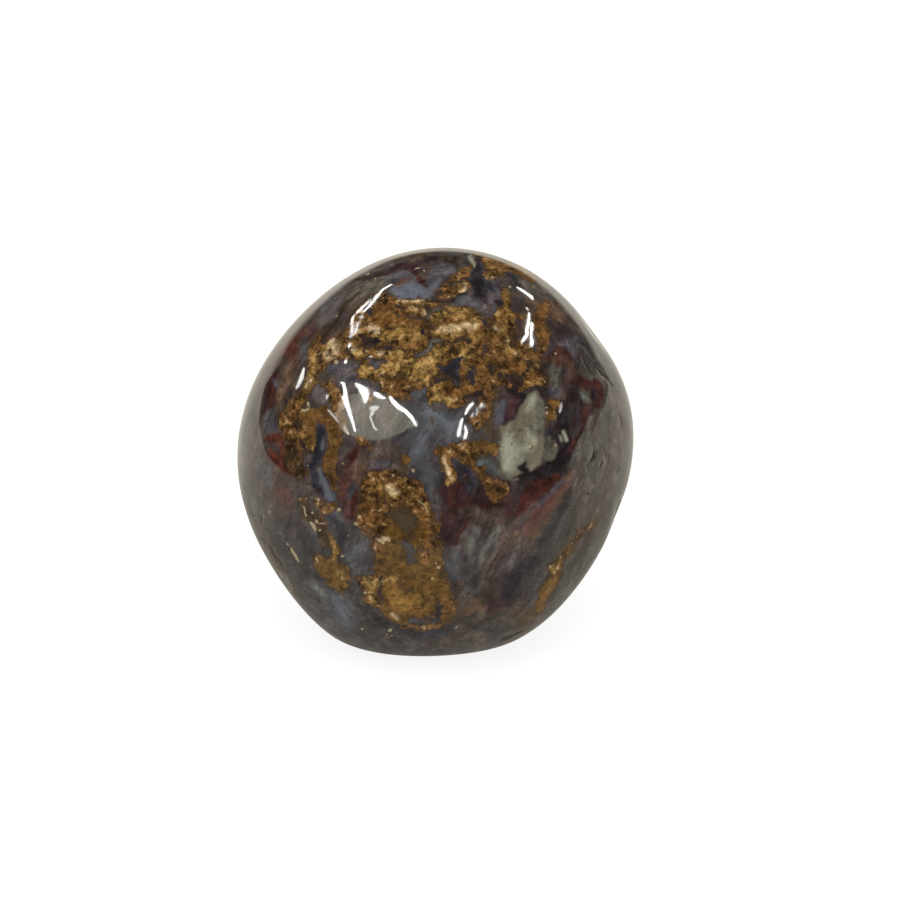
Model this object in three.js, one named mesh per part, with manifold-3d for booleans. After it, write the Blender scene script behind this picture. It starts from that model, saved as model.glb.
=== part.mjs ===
// Tumbled pietersite: one polished pebble, wide as it is tall, that rests on a small flat spot.
// Millimetres, +Z up. The broad face looks to the front (-Y) and leans back.

import * as THREE from 'three';
import { mergeVertices } from 'three/addons/utils/BufferGeometryUtils.js';
import Module from 'manifold-3d';

const wasm = await Module();
wasm.setup();

// Half sizes of the round body, measured across, along and through its broad face
const HALF_ACROSS = 14.7;
const HALF_ALONG = 14.85;
const HALF_THROUGH = 12.4;

// The broad face leans back by this angle in degrees, so it also looks upwards
const LEAN = 27;

// The worn underside is a shallow bow of this radius, this deep below the body's centre, eased into the sides.
// Its lowest part is worn to a true plane, the flat spot of this radius.
const UNDERSIDE_RADIUS = 80;
const UNDERSIDE_DEPTH = 13.15;
const UNDERSIDE_EASING = 0.6;
const SPOT_RADIUS = 4.5;

// Swells and worn faces, as lumps added to the radius (height in millimetres, worn faces are negative).
// bearing runs round the rim of the broad face from its right side, anticlockwise.
// tilt turns from the rim towards the middle of the broad face, or to the back where it is negative.
// spread is the lump's reach. All three are in degrees.
const SWELLS = [
  { name: 'top', bearing: 84, tilt: 0, height: 0.6, spread: 32 },
  { name: 'lower left corner', bearing: 247, tilt: 0, height: 1.15, spread: 17 },
  { name: 'lower right corner', bearing: 290, tilt: 0, height: 0.55, spread: 16 },
  { name: 'left side', bearing: 190, tilt: 0, height: 0.3, spread: 30 },
  { name: 'right side', bearing: 14, tilt: 0, height: 0.25, spread: 16 },
  { name: 'upper right flat', bearing: 38, tilt: 0, height: -0.28, spread: 13 },
  { name: 'upper left flat', bearing: 133, tilt: 0, height: -0.58, spread: 24 },
  { name: 'right flank flat', bearing: 330, tilt: 0, height: -0.28, spread: 18 },
  { name: 'back left taper', bearing: 225, tilt: -40, height: -0.5, spread: 20 },
  { name: 'back right taper', bearing: 315, tilt: -40, height: -0.5, spread: 20 },
  { name: 'right worn face', bearing: 352, tilt: 38, height: -0.75, spread: 20 },
  { name: 'ridge over it', bearing: 28, tilt: 42, height: 0.45, spread: 24 },
  { name: 'left worn face', bearing: 222, tilt: 30, height: -0.3, spread: 20 },
  { name: 'back worn face', bearing: 100, tilt: -52, height: -0.55, spread: 22 },
  { name: 'back swell', bearing: 20, tilt: -50, height: 0.3, spread: 20 },
];

// Small dents where softer seams wore away first, in the same terms as the swells
const DENTS = [
  { name: 'rim notch', bearing: 341, tilt: 4, height: -0.22, spread: 4 },
  { name: 'rim pit', bearing: 37, tilt: 8, height: -0.18, spread: 4 },
  { name: 'left seam end', bearing: 198, tilt: 14, height: -0.12, spread: 4 },
  { name: 'top seam', bearing: 97, tilt: 24, height: -0.12, spread: 4.5 },
  { name: 'crystal edge', bearing: 332, tilt: 62, height: -0.12, spread: 5 },
  { name: 'back chip', bearing: 150, tilt: -35, height: -0.2, spread: 5 },
  { name: 'back pit', bearing: 60, tilt: -60, height: -0.15, spread: 4.5 },
];

// Each side of the starting twenty-faced ball is split into this many edges, plus one
const FACET_SPLIT = 18;

const STONE_COLOUR = 0x5e4e44;
const STONE_ROUGHNESS = 0.12;

const broadHalf = new THREE.Vector3(HALF_ACROSS, HALF_ALONG, HALF_THROUGH);
const leanAngle = THREE.MathUtils.degToRad(LEAN);
const down = new THREE.Vector3(0, -Math.cos(leanAngle), -Math.sin(leanAngle));
const bowCentreHeight = UNDERSIDE_RADIUS - UNDERSIDE_DEPTH;
const spotDepth = UNDERSIDE_DEPTH - SPOT_RADIUS ** 2 / (2 * UNDERSIDE_RADIUS);

// Unit vector at a bearing round the broad face's rim, tilted to the face
function bearingVector(bearing, tilt) {
  const turn = THREE.MathUtils.degToRad(bearing);
  const rise = THREE.MathUtils.degToRad(tilt);
  const flat = Math.cos(rise);
  return new THREE.Vector3(Math.cos(turn) * flat, Math.sin(turn) * flat, Math.sin(rise));
}

const lumps = [...SWELLS, ...DENTS].map(({ bearing, tilt, height, spread }) => ({
  centre: bearingVector(bearing, tilt),
  height,
  sharpness: 1 / THREE.MathUtils.degToRad(spread) ** 2,
}));

// The smaller of two lengths, eased below both where they are nearly equal
function easedMin(a, b, easing) {
  const closeness = Math.max(easing - Math.abs(a - b), 0) / easing;
  return Math.min(a, b) - closeness * closeness * easing / 4;
}

// Distance from the centre to the underside's bow along a unit direction
function undersideRadius(direction) {
  const reach = bowCentreHeight * direction.dot(down);
  return Math.sqrt(reach ** 2 + UNDERSIDE_RADIUS ** 2 - bowCentreHeight ** 2) - reach;
}

// Distance from the centre to the skin along a unit direction
function skinRadius(direction) {
  const round = 1 / direction.clone().divide(broadHalf).length();
  const lumpy = lumps.reduce(
    (radius, { centre, height, sharpness }) =>
      radius + height * Math.exp(sharpness * (direction.dot(centre) - 1)),
    round,
  );
  return easedMin(lumpy, undersideRadius(direction), UNDERSIDE_EASING);
}

// Closed faceted ball with every corner moved out to the skin, leaned back and set over level zero
function bodyGeometry() {
  const ball = new THREE.IcosahedronGeometry(1, FACET_SPLIT);
  ball.deleteAttribute('normal');
  ball.deleteAttribute('uv');
  const geometry = mergeVertices(ball, 1e-5);
  const corners = geometry.getAttribute('position');
  const corner = new THREE.Vector3();
  for (let i = 0; i < corners.count; i += 1) {
    corner.fromBufferAttribute(corners, i).normalize();
    corner.multiplyScalar(skinRadius(corner));
    corners.setXYZ(i, corner.x, corner.y, corner.z);
  }
  geometry.rotateX(Math.PI / 2 - leanAngle);
  geometry.translate(0, 0, spotDepth);
  return geometry;
}

// Block whose top lies at level zero, wider than the stone
function trimBlock() {
  const side = 4 * HALF_ALONG;
  const block = new THREE.BoxGeometry(side, side, side);
  block.deleteAttribute('normal');
  block.deleteAttribute('uv');
  block.translate(0, 0, -side / 2);
  return mergeVertices(block, 1e-5);
}

function toSolid(geometry) {
  const vertProperties = new Float32Array(geometry.getAttribute('position').array);
  const triVerts = new Uint32Array(geometry.getIndex().array);
  return new wasm.Manifold(new wasm.Mesh({ numProp: 3, vertProperties, triVerts }));
}

function toGeometry(solid) {
  const { vertProperties, triVerts } = solid.getMesh();
  const geometry = new THREE.BufferGeometry();
  geometry.setAttribute('position', new THREE.BufferAttribute(vertProperties, 3));
  geometry.setIndex(new THREE.BufferAttribute(triVerts, 1));
  return geometry;
}

// The stone, with the middle of its outline over the origin and its flat spot at level zero
function stoneGeometry() {
  const geometry = toGeometry(toSolid(bodyGeometry()).subtract(toSolid(trimBlock())));
  geometry.computeBoundingBox();
  const middle = geometry.boundingBox.getCenter(new THREE.Vector3());
  geometry.translate(-middle.x, -middle.y, 0);
  geometry.computeVertexNormals();
  return geometry;
}

const stone = new THREE.Mesh(
  stoneGeometry(),
  new THREE.MeshStandardMaterial({ color: STONE_COLOUR, roughness: STONE_ROUGHNESS, metalness: 0 }),
);
stone.name = 'stone';

const tumbledPietersite = new THREE.Group();
tumbledPietersite.name = 'tumbled_pietersite';
tumbledPietersite.add(stone);

export default tumbledPietersite;
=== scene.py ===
# Tumbled pietersite: a polished pebble of broken and re-cemented blue, red and gold fibres, on a pale floor.
# The form and its markings are worked out in millimetres and put into the scene in metres.

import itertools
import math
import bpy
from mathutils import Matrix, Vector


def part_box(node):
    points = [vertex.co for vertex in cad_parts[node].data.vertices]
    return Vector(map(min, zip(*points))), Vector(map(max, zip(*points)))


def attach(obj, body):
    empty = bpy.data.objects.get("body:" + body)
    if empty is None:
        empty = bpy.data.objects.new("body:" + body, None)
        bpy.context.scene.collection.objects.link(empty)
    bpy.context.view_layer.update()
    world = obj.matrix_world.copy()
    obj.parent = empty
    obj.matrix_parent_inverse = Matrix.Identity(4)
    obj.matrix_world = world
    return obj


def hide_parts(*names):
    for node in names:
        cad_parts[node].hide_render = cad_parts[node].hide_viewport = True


bl_info = {
    "name": "Tumbled pietersite",
    "version": (1, 0, 0),
    "blender": (4, 5, 0),
    "location": "View3D > Sidebar > Pietersite",
    "description": "Builds a polished pietersite pebble and its studio stage",
    "category": "Object",
}

import bmesh
import bpy
import numpy as np
from bpy.props import FloatProperty, FloatVectorProperty, IntProperty, PointerProperty
from mathutils import Vector

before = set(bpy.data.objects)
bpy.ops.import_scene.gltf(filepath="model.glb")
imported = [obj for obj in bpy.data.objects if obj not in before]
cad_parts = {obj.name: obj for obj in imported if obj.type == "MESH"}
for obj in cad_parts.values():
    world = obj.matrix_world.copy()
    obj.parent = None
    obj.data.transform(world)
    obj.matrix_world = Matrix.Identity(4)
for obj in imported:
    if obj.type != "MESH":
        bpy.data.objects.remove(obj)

MM = 0.001
NODE = "stone"

# The form. Bearings run round the rim of the broad face from its right side, anticlockwise, tilts turn
# from the rim towards the middle of that face, and spread is a lump's reach, all in degrees.
# Heights are added to the radius, so a worn face or a dent has a negative one.

# name, bearing, tilt, height, spread
SWELLS = (
    ("top", 84, 0, 0.6, 32),
    ("lower left corner", 247, 0, 1.15, 17),
    ("lower right corner", 290, 0, 0.55, 16),
    ("left side", 190, 0, 0.3, 30),
    ("right side", 14, 0, 0.25, 16),
    ("upper right flat", 38, 0, -0.28, 13),
    ("upper left flat", 133, 0, -0.58, 24),
    ("right flank flat", 330, 0, -0.28, 18),
    ("back left taper", 225, -40, -0.5, 20),
    ("back right taper", 315, -40, -0.5, 20),
    ("right worn face", 352, 38, -0.75, 20),
    ("ridge over it", 28, 42, 0.45, 24),
    ("left worn face", 222, 30, -0.3, 20),
    ("back worn face", 100, -52, -0.55, 22),
    ("back swell", 20, -50, 0.3, 20),
)
DENTS = (
    ("rim notch", 341, 4, -0.22, 4),
    ("rim pit", 37, 8, -0.18, 4),
    ("left seam end", 198, 14, -0.12, 4),
    ("top seam", 97, 24, -0.12, 4.5),
    ("crystal edge", 332, 62, -0.12, 5),
    ("back chip", 150, -35, -0.2, 5),
    ("back pit", 60, -60, -0.15, 4.5),
)

# The markings of the broad face are drawn on a plane through the stone's centre, as the camera sees it:
# x to the right and y up, in millimetres. Each one is a colour, the softness of its edge, and a chain of
# places with a half width at each, (x, y, half width). Later ones lie over earlier ones.

# Tints of the chalcedony that the rest is set in
GROUND = (
    # broad tints: left, top, middle, right and foot
    ("brown_mauve", 2.5, (-11.5, 3, 2), (-10.6, 6.5, 2.2), (-8.4, 9.6, 2), (-5, 12.6, 1.8),
     (-1, 14.2, 1.5)),
    ("brown", 2.5, (-6, 8.5, 2.5), (-1, 8.5, 4), (4.5, 8.5, 3.5), (7.5, 9.5, 2.5)),
    ("dark_mauve", 2, (4.6, 3.6, 1.8), (8.6, 5.5, 2), (10.2, 3, 1.8), (9.6, 7.5, 1.8)),
    ("violet_grey", 2, (-4.6, 1, 1.6), (-1.8, 1.2, 2), (0.8, 2, 1.6), (-0.6, -1.4, 1.3)),
    ("mauve", 2, (-7.6, -2, 1.5), (-5.8, -1.2, 1.3), (-3.6, -0.4, 1.3)),
    ("dark_maroon", 2, (1.4, -2.6, 1.5), (3.4, -3.8, 1.5), (6.6, -3.2, 1.5), (8.6, -1.8, 1),
     (1.2, -5.2, 1.2)),
    ("grey", 2.5, (-12.6, -4, 1.8), (-11, -7.4, 2.5), (-8.4, -10.6, 2.2), (-5.6, -12.8, 1.6)),
    ("mauve_grey", 2.5, (-12.6, -2, 1.2), (-11.4, -4, 1.6), (-10.4, -5.4, 1)),
    ("grey_face", 2, (12, 6.6, 1.2), (13.4, 2.4, 1.8), (12.6, -2, 2.2), (11.4, -5.6, 2), (9.4, -9.4, 1.6)),
    ("mauve_grey", 2.5, (2.2, -7, 1.6), (5.4, -7, 2), (4, -9.6, 2), (7.4, -8.8, 1.4)),
    ("brown_mauve", 2.2, (2.6, -11.4, 1.5), (5, -11.2, 1.2), (6.2, -12.4, 1)),
    ("dark_grey", 2, (-3.6, -13.8, 1), (0.6, -13.9, 1.2), (4, -13.6, 1)),
    # upper left band, between the rim and the gold
    ("grey_brown", 1, (-8, 11.4, 0.5), (-6.4, 12.2, 0.8), (-4.6, 13.2, 0.9), (-2.6, 14.2, 0.6)),
    ("olive_grey", 0.6, (-6.8, 11.6, 0.4), (-5.6, 12, 0.5), (-4.4, 12.7, 0.4), (-3.4, 13.2, 0.2)),
    ("mauve_grey", 0.8, (-9, 9.8, 0.6), (-7.6, 10.6, 0.7), (-6.9, 9.6, 0.5)),
    ("blue_grey", 0.6, (-8.4, 10.7, 0.25), (-7.4, 11.3, 0.3)),
    ("red_mauve", 0.7, (-9.4, 9, 0.5), (-8.6, 9.4, 0.4), (-8.2, 8.6, 0.3)),
    ("grey_brown", 0.5, (-8.6, 9.6, 0.4), (-8, 10.4, 0.5), (-7.2, 11.2, 0.35)),
    ("dark_brown", 0.3, (-9, 8, 0.18), (-8.3, 9.3, 0.22), (-7.3, 10.4, 0.2), (-6.5, 11.2, 0.15),
     (-5.8, 11.9, 0.1)),
    ("maroon", 0.3, (-10.2, 9.4, 0.1), (-9.2, 10.7, 0.2), (-8, 12, 0.18), (-6.8, 12.9, 0.08)),
    ("dark_brown", 0.35, (-7.2, 12.5, 0.15), (-5.8, 13.1, 0.18), (-4.9, 13.1, 0.2), (-4, 13.5, 0.15)),
    ("dark_brown", 0.3, (-5.8, 13.9, 0.1), (-4.6, 14.2, 0.15), (-3.6, 14.5, 0.1)),
    ("maroon", 0.35, (-3.9, 13.5, 0.15), (-3, 13.8, 0.35), (-2, 14, 0.3), (-1.4, 13.9, 0.15)),
    ("brown", 0.5, (-3.2, 14.5, 0.2), (-2, 14.8, 0.3), (-1, 14.7, 0.2)),
    ("violet_light", 0.5, (-8.4, 9.9, 0.25), (-7.8, 10.6, 0.3), (-7.2, 11.2, 0.15)),
    ("pale_face", 0.5, (-8.2, 10.1, 0.1), (-7.8, 10.5, 0.15)),
    # left side, from the top down
    ("red_brown", 0.5, (-10, 9.1, 0.25), (-10.7, 8.3, 0.55), (-11, 7.4, 0.45), (-10.8, 6.7, 0.25)),
    ("mauve_grey", 0.6, (-9.9, 8.1, 0.35), (-10, 7.3, 0.4), (-10.1, 6.3, 0.25)),
    ("blue_grey", 0.35, (-10.1, 7.9, 0.25), (-9.8, 7.4, 0.28), (-9.7, 7, 0.12)),
    ("maroon", 0.6, (-11.6, 7.6, 0.2), (-12.2, 6.2, 0.35), (-12.7, 4.6, 0.55), (-12.8, 3.2, 0.4),
     (-12.7, 2.2, 0.15)),
    ("dark_red", 0.4, (-12.3, 5.6, 0.2), (-12.5, 4.6, 0.3), (-12.4, 3.8, 0.3), (-12.6, 3.2, 0.2)),
    ("blue_grey", 0.3, (-12.3, 5.2, 0.12), (-12, 4.9, 0.14)),
    ("brown_pink", 0.6, (-11.6, 4.8, 0.3), (-11.6, 3.8, 0.35), (-11.7, 3, 0.2)),
    ("brown_pink", 0.6, (-11.2, 6.3, 0.3), (-11.3, 5.5, 0.4), (-11.5, 4.7, 0.3)),
    ("red", 0.6, (-11.1, 8.4, 0.15), (-10.8, 7.8, 0.3)),
    ("violet_grey", 0.4, (-12.4, 2.9, 0.3), (-12.5, 2.3, 0.45), (-12.3, 1.6, 0.35), (-12.6, 1.4, 0.15)),
    ("dark_violet", 0.3, (-10.9, 4.6, 0.1), (-11.1, 3.8, 0.22), (-11.25, 2.8, 0.15)),
    ("red", 0.4, (-12.7, 1, 0.2), (-12.2, 1.1, 0.35), (-11.6, 0.9, 0.4), (-11.4, 0.3, 0.4)),
    ("dark_red", 0.35, (-12.6, -0.2, 0.3), (-12, -0.5, 0.5), (-11.4, -1.2, 0.4)),
    ("red", 0.35, (-11.9, -0.8, 0.3), (-11.4, -1.3, 0.4), (-10.9, -1.8, 0.2)),
    ("dark_red", 0.3, (-11.5, -0.2, 0.25), (-11.2, -0.8, 0.3), (-11, -1.5, 0.2)),
    ("dark_red", 0.4, (-12.3, -0.2, 0.15), (-12.1, -0.5, 0.25), (-11.8, -0.9, 0.15)),
    ("orange_red", 0.35, (-12.6, 0.2, 0.12), (-12.35, -0.1, 0.2), (-12, -0.35, 0.12)),
    ("salmon", 0.25, (-12.5, 0.62, 0.06), (-12, 0.66, 0.12), (-11.6, 0.62, 0.06)),
    ("red_mauve", 1, (-12.2, -1.9, 0.5), (-11.6, -2.9, 0.8), (-11.2, -3.9, 0.5)),
    ("violet_grey", 0.8, (-13, -1.2, 0.4), (-12.6, -2.2, 0.3)),
    ("red_brown", 0.8, (-11.9, -2.7, 0.15), (-11.6, -3.2, 0.25), (-11.4, -3.7, 0.15)),
    ("mauve_grey", 0.7, (-10.8, -2.3, 0.3), (-10.2, -2.8, 0.4), (-9.8, -3.2, 0.3)),
    ("brown_mauve", 0.8, (-13.6, -5.4, 0.5), (-12.8, -7, 0.5), (-12, -8.8, 0.5), (-10.6, -10.9, 0.3)),
    ("gold_smooth", 0.5, (-12.7, -7.9, 0.2), (-12, -8.8, 0.35), (-11.1, -10, 0.3), (-10.3, -11.2, 0.15)),
    ("pale_face", 0.5, (-11.6, -9.1, 0.1), (-11.2, -9.6, 0.25), (-10.8, -10.2, 0.1)),
    ("dark_grey", 0.6, (-9.9, -6.3, 0.5), (-9.2, -7.3, 0.6), (-8.4, -7.4, 0.4)),
    ("dark_grey", 0.6, (-9.6, -9, 0.3), (-8.8, -9.6, 0.5), (-8.2, -9.9, 0.3)),
    ("blue_grey", 0.9, (-9.4, -9.9, 0.3), (-8.4, -10.4, 0.5), (-7.3, -11.4, 0.9), (-6.7, -12.4, 0.9),
     (-7.4, -12.8, 0.6)),
    ("blue", 0.8, (-7.4, -11, 0.3), (-6.9, -11.9, 0.35)),
    ("pale_green", 0.35, (-9, -10.2, 0.12), (-8.5, -10.5, 0.22), (-8.1, -10.8, 0.12)),
    # between the left fibres and the large lower patch
    ("violet_grey", 0.5, (-8.2, 6.2, 0.6), (-6.9, 6, 0.9), (-5.8, 6, 0.7), (-5, 5.5, 0.4), (-4.4, 5, 0.3)),
    ("violet_light", 0.5, (-7.2, 6.2, 0.2), (-6.5, 6.1, 0.25), (-5.8, 6.1, 0.15)),
    ("brown_mauve", 0.5, (-8.6, 5.7, 0.35), (-7.8, 5.3, 0.4)),
    ("grey_brown", 0.8, (-6, 3.6, 1.4), (-4.2, 2.8, 1.4), (-2.6, 2.6, 0.8)),
    ("red_mauve", 0.7, (-5.6, 0.6, 0.6), (-6, -0.6, 0.8), (-6.4, -2, 0.8), (-6.6, -3.4, 0.6),
     (-6.5, -5.2, 0.4)),
    ("brown_pink", 0.6, (-5.3, 0.4, 0.3), (-5.6, -0.6, 0.4), (-5.9, -1.8, 0.3)),
    ("dark_red", 0.4, (-6, 0.3, 0.2), (-6.2, -0.2, 0.35), (-6.7, -0.9, 0.2)),
    ("red_brown", 0.4, (-6.9, -1.3, 0.2), (-7, -2.4, 0.35), (-7.1, -3.3, 0.2)),
    ("violet_grey", 0.5, (-6.3, -2.5, 0.3), (-6.5, -3.3, 0.25)),
    ("dark_red", 0.35, (-5.9, -2.8, 0.15), (-6.1, -3.9, 0.28), (-6.3, -4.9, 0.15)),
    ("blue_grey", 0.5, (-7.9, -4.4, 0.3), (-7.4, -5.4, 0.4), (-7.2, -6.6, 0.4), (-6.6, -8, 0.4),
     (-6, -9, 0.3)),
    ("dark_blue", 0.45, (-8.8, -4.6, 0.2), (-8, -4.8, 0.3), (-7.5, -5.4, 0.35), (-7.1, -6.3, 0.4),
     (-7, -7.4, 0.25)),
    ("dark_grey", 0.5, (-7.4, -7.8, 0.3), (-6.9, -8.4, 0.35), (-6.3, -9.2, 0.3)),
    # middle
    ("blue_grey", 0.8, (-2.4, 3.2, 0.4), (-0.8, 2.9, 0.7), (0.6, 2.3, 0.8), (1.5, 1.6, 0.7)),
    ("blue", 0.7, (-0.9, 3, 0.3), (0.2, 2.5, 0.35), (1, 1.9, 0.25)),
    ("blue_grey", 0.8, (-0.8, 1.8, 0.8), (-1.4, 0.6, 0.8), (-1.2, -0.4, 0.7), (-0.5, -1.7, 0.6),
     (-0.1, -3, 0.45)),
    ("blue", 0.8, (-1, 1, 0.3), (-1.3, 0, 0.3)),
    ("mauve", 0.8, (-5, 0.2, 0.6), (-4.2, -0.5, 0.7), (-3.4, 0.1, 0.6), (-3, -0.8, 0.4)),
    ("brown_mauve", 0.7, (-4.6, -0.2, 0.3), (-3.6, 0.5, 0.4), (-2.6, -0.4, 0.4)),
    ("mauve_face", 0.6, (-4.5, 0.2, 0.25), (-3.9, -0.1, 0.3)),
    ("violet_grey", 0.6, (-4.6, -0.9, 0.3), (-3.9, -1.1, 0.35), (-3.2, -1, 0.2)),
    ("dark_red", 0.4, (-5.3, -1.6, 0.12), (-4.2, -1.5, 0.18), (-3.2, -1.6, 0.18), (-2.3, -1.4, 0.12)),
    ("brown", 0.5, (-3.4, -1.4, 0.2), (-2.5, -1.3, 0.3)),
    # right of the middle, from the quartz down
    ("blue_violet", 0.5, (5.1, 3.5, 0.3), (4.8, 2.9, 0.45), (4.6, 2.2, 0.3)),
    ("brown", 0.8, (4.2, 4.8, 0.6), (4, 3.6, 0.6), (3.9, 2.4, 0.6), (4.2, 1.4, 0.4)),
    ("gold_smooth", 0.6, (4, 4.4, 0.3), (4.1, 3.2, 0.3)),
    ("maroon", 0.5, (5.9, 4.2, 0.35), (5.8, 3.3, 0.45), (5.5, 2.6, 0.35)),
    ("near_black", 0.4, (5.6, 4.8, 0.3), (6.2, 4.6, 0.35), (6.7, 4.3, 0.2), (6.4, 3.6, 0.15),
     (6.1, 2.9, 0.12)),
    ("dark_maroon", 0.6, (0.8, -3, 0.5), (1.4, -3.6, 0.6), (1, -4.6, 0.6), (1, -5.8, 0.6),
     (0.9, -6.8, 0.4)),
    ("maroon", 0.45, (0.8, -2.9, 0.25), (1.5, -3.2, 0.35), (2.3, -3.3, 0.3), (2.8, -2.9, 0.2)),
    ("dark_red", 0.3, (1.7, -2.6, 0.2), (0.9, -3.5, 0.2), (1.4, -4, 0.22), (2.4, -3.8, 0.2)),
    ("mauve", 0.7, (2.2, -4.4, 0.5), (3.3, -5, 0.8), (4.6, -5.1, 0.7), (5.4, -4.8, 0.4)),
    ("mauve_face", 0.7, (2.9, -4.3, 0.2), (3.4, -4.9, 0.3), (4.2, -5.2, 0.2)),
    ("dark_red", 0.4, (3.4, -4, 0.22), (4.3, -3.9, 0.3), (5.2, -3.9, 0.28), (5.7, -3.4, 0.2)),
    ("near_black", 0.35, (4.2, -3.95, 0.12), (5.1, -3.9, 0.15)),
    ("maroon", 0.5, (5.2, -4.6, 0.3), (5.9, -4, 0.35), (6.5, -3.2, 0.35)),
    ("dark_mauve", 0.5, (6, -2.6, 0.4), (6.2, -3.2, 0.4), (5.7, -4, 0.3)),
    ("mauve_face", 0.8, (7.8, -3.4, 0.5), (6.9, -4.8, 0.6), (6.1, -6, 0.9), (5.4, -7, 0.7)),
    ("brown_pink", 1.2, (9.9, -2.6, 0.3), (9, -3.8, 0.5), (8, -5, 0.6), (7.1, -6.2, 0.5)),
    ("salmon", 0.6, (10.2, -1.9, 0.25), (9.3, -2.8, 0.4), (8.4, -3.9, 0.5), (7.6, -4.9, 0.55),
     (6.8, -6, 0.35)),
    ("brown_pink", 0.4, (10.3, -1.6, 0.15), (9.6, -2.4, 0.15), (8.9, -3.1, 0.12)),
    ("red", 0.4, (9.1, -1.9, 0.15), (8.3, -2.6, 0.22), (7.7, -3.2, 0.2), (6.9, -3.7, 0.2),
     (6.3, -4.4, 0.18)),
    ("dark_red", 0.35, (8.4, -2.1, 0.3), (7.5, -2.7, 0.4), (6.9, -3.3, 0.35), (6.4, -3.9, 0.25),
     (5.9, -4.8, 0.12)),
    ("violet_grey", 0.5, (9.6, -2.3, 0.12), (8.6, -3, 0.2), (7.8, -3.9, 0.2)),
    ("dark_grey", 0.6, (10.4, -2.6, 0.2), (9.8, -3.8, 0.35), (9.2, -4.8, 0.4), (8.5, -5.8, 0.35),
     (7.9, -6.8, 0.3)),
    ("grey", 0.8, (9.9, -5.2, 0.4), (9, -6.6, 0.5), (8, -8, 0.5), (7.2, -9.8, 0.5)),
    ("grey_face", 0.8, (10.6, -5.2, 0.25), (10.2, -6, 0.3)),
    ("brown_pink", 1, (5.3, -6.9, 0.25), (5.9, -6.3, 0.3)),
    ("mauve", 1, (6.4, -7.6, 0.4), (5.6, -8.1, 0.5), (4.9, -8.8, 0.5), (4.4, -9.4, 0.3)),
    ("violet_grey", 0.8, (5.9, -7.9, 0.2), (5.2, -8.5, 0.3)),
    ("dark_violet", 0.7, (7.4, -7.9, 0.3), (6.6, -8.5, 0.45), (5.8, -9.4, 0.6), (5.6, -10.4, 0.6),
     (5.2, -11.4, 0.4)),
    ("dark_grey", 0.8, (2.7, -8.4, 0.5), (2.6, -9.6, 0.6), (3.2, -10.4, 0.5)),
    ("blue_grey", 0.6, (1, -8.4, 0.3), (1.4, -9.2, 0.35), (1.6, -7.4, 0.25)),
    ("maroon", 0.5, (4.2, -11.2, 0.25), (5, -11.4, 0.35), (4, -11.9, 0.25)),
    ("brown_pink", 0.6, (2.3, -12, 0.3), (3.2, -11.6, 0.4)),
    ("dark_red", 0.25, (2.5, -4.95, 0.1), (2, -5.4, 0.13), (1.65, -5.9, 0.12), (1.55, -6.8, 0.08)),
    ("dark_red", 0.3, (4.9, -7.4, 0.05), (4.4, -8.1, 0.08), (4, -8.9, 0.07), (3.8, -9.5, 0.05)),
    ("dark_red", 0.3, (0.3, -7.6, 0.05), (0.5, -8.4, 0.08), (0.7, -8.9, 0.06)),
    ("pale_green", 0.8, (2.9, -5.7, 0.12), (2.8, -6.4, 0.25), (2.6, -7.2, 0.12), (2.6, -8, 0.05)),
    ("pale_green", 0.8, (4.7, -5.9, 0.12), (4.3, -6.5, 0.22), (3.8, -7.2, 0.1), (3.5, -8, 0.05)),
    # right side
    ("grey_brown", 0.8, (5.8, 13.6, 0.3), (7.4, 12.4, 0.6), (8.6, 11.6, 0.5), (9.6, 10.6, 0.3)),
    ("olive_grey", 0.5, (6.2, 12.9, 0.3), (7.2, 12.5, 0.35), (8, 12, 0.3)),
    ("gold_smooth", 0.4, (8, 11, 0.35), (8.7, 10.7, 0.4)),
    ("brown_pink", 0.5, (7.6, 11.2, 0.35), (8.6, 10.9, 0.55), (9.3, 10.3, 0.5), (8.6, 10.2, 0.45)),
    ("violet_grey", 0.6, (7.2, 7.8, 0.5), (8.2, 7.9, 0.5), (8, 7, 0.35)),
    ("violet_grey", 0.5, (9.6, 8.1, 0.4), (10.4, 7.7, 0.4), (10.5, 8.6, 0.3)),
    ("dark_mauve", 0.5, (8.7, 9.7, 0.35), (9.3, 9.1, 0.5), (9, 8.4, 0.35), (9.8, 8.8, 0.3)),
    ("dark_red", 0.4, (8.7, 7.2, 0.3), (9.4, 7.5, 0.35), (9.8, 7, 0.25)),
    ("red_brown", 0.45, (8, 6.9, 0.25), (9, 6.9, 0.3), (9.9, 6.5, 0.4), (10.3, 5.9, 0.25)),
    ("mauve_grey", 0.6, (8.7, 6, 0.5), (8.9, 5, 0.5), (9.1, 4.2, 0.4)),
    ("mauve_face", 0.6, (8.8, 5.5, 0.25), (9, 4.8, 0.3)),
    ("green_grey", 0.4, (8.7, 6.3, 0.3), (9, 5.7, 0.35), (9, 5.1, 0.25)),
    ("violet_grey", 0.5, (8.7, 4.6, 0.3), (9.2, 4.2, 0.35)),
    ("pale_face", 0.2, (9.45, 6.3, 0.06), (9.2, 5.6, 0.09), (9.1, 4.8, 0.06)),
    ("mauve", 0.6, (9.9, 5.8, 0.4), (10.2, 4.8, 0.35), (9.8, 3.8, 0.35)),
    ("dark_maroon", 0.7, (10.1, 5, 0.4), (10.6, 3.8, 0.8), (10.5, 2.2, 0.8), (9.8, 0.6, 0.6)),
    ("near_black", 0.7, (9.5, 3.2, 0.35), (9.5, 1.8, 0.4), (9.9, 0.6, 0.5), (9.2, -0.6, 0.4)),
    ("dark_grey", 0.5, (9.9, 2.7, 0.2), (9.7, 2.2, 0.2)),
    ("maroon", 0.5, (10.7, 5.2, 0.4), (11.5, 4.8, 0.4), (11.6, 3.6, 0.4), (11.2, 2.6, 0.4),
     (10.8, 1.4, 0.3)),
    ("dark_maroon", 0.4, (10.6, 4.4, 0.3), (10.7, 3.2, 0.35), (10.3, 2.4, 0.25)),
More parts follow.
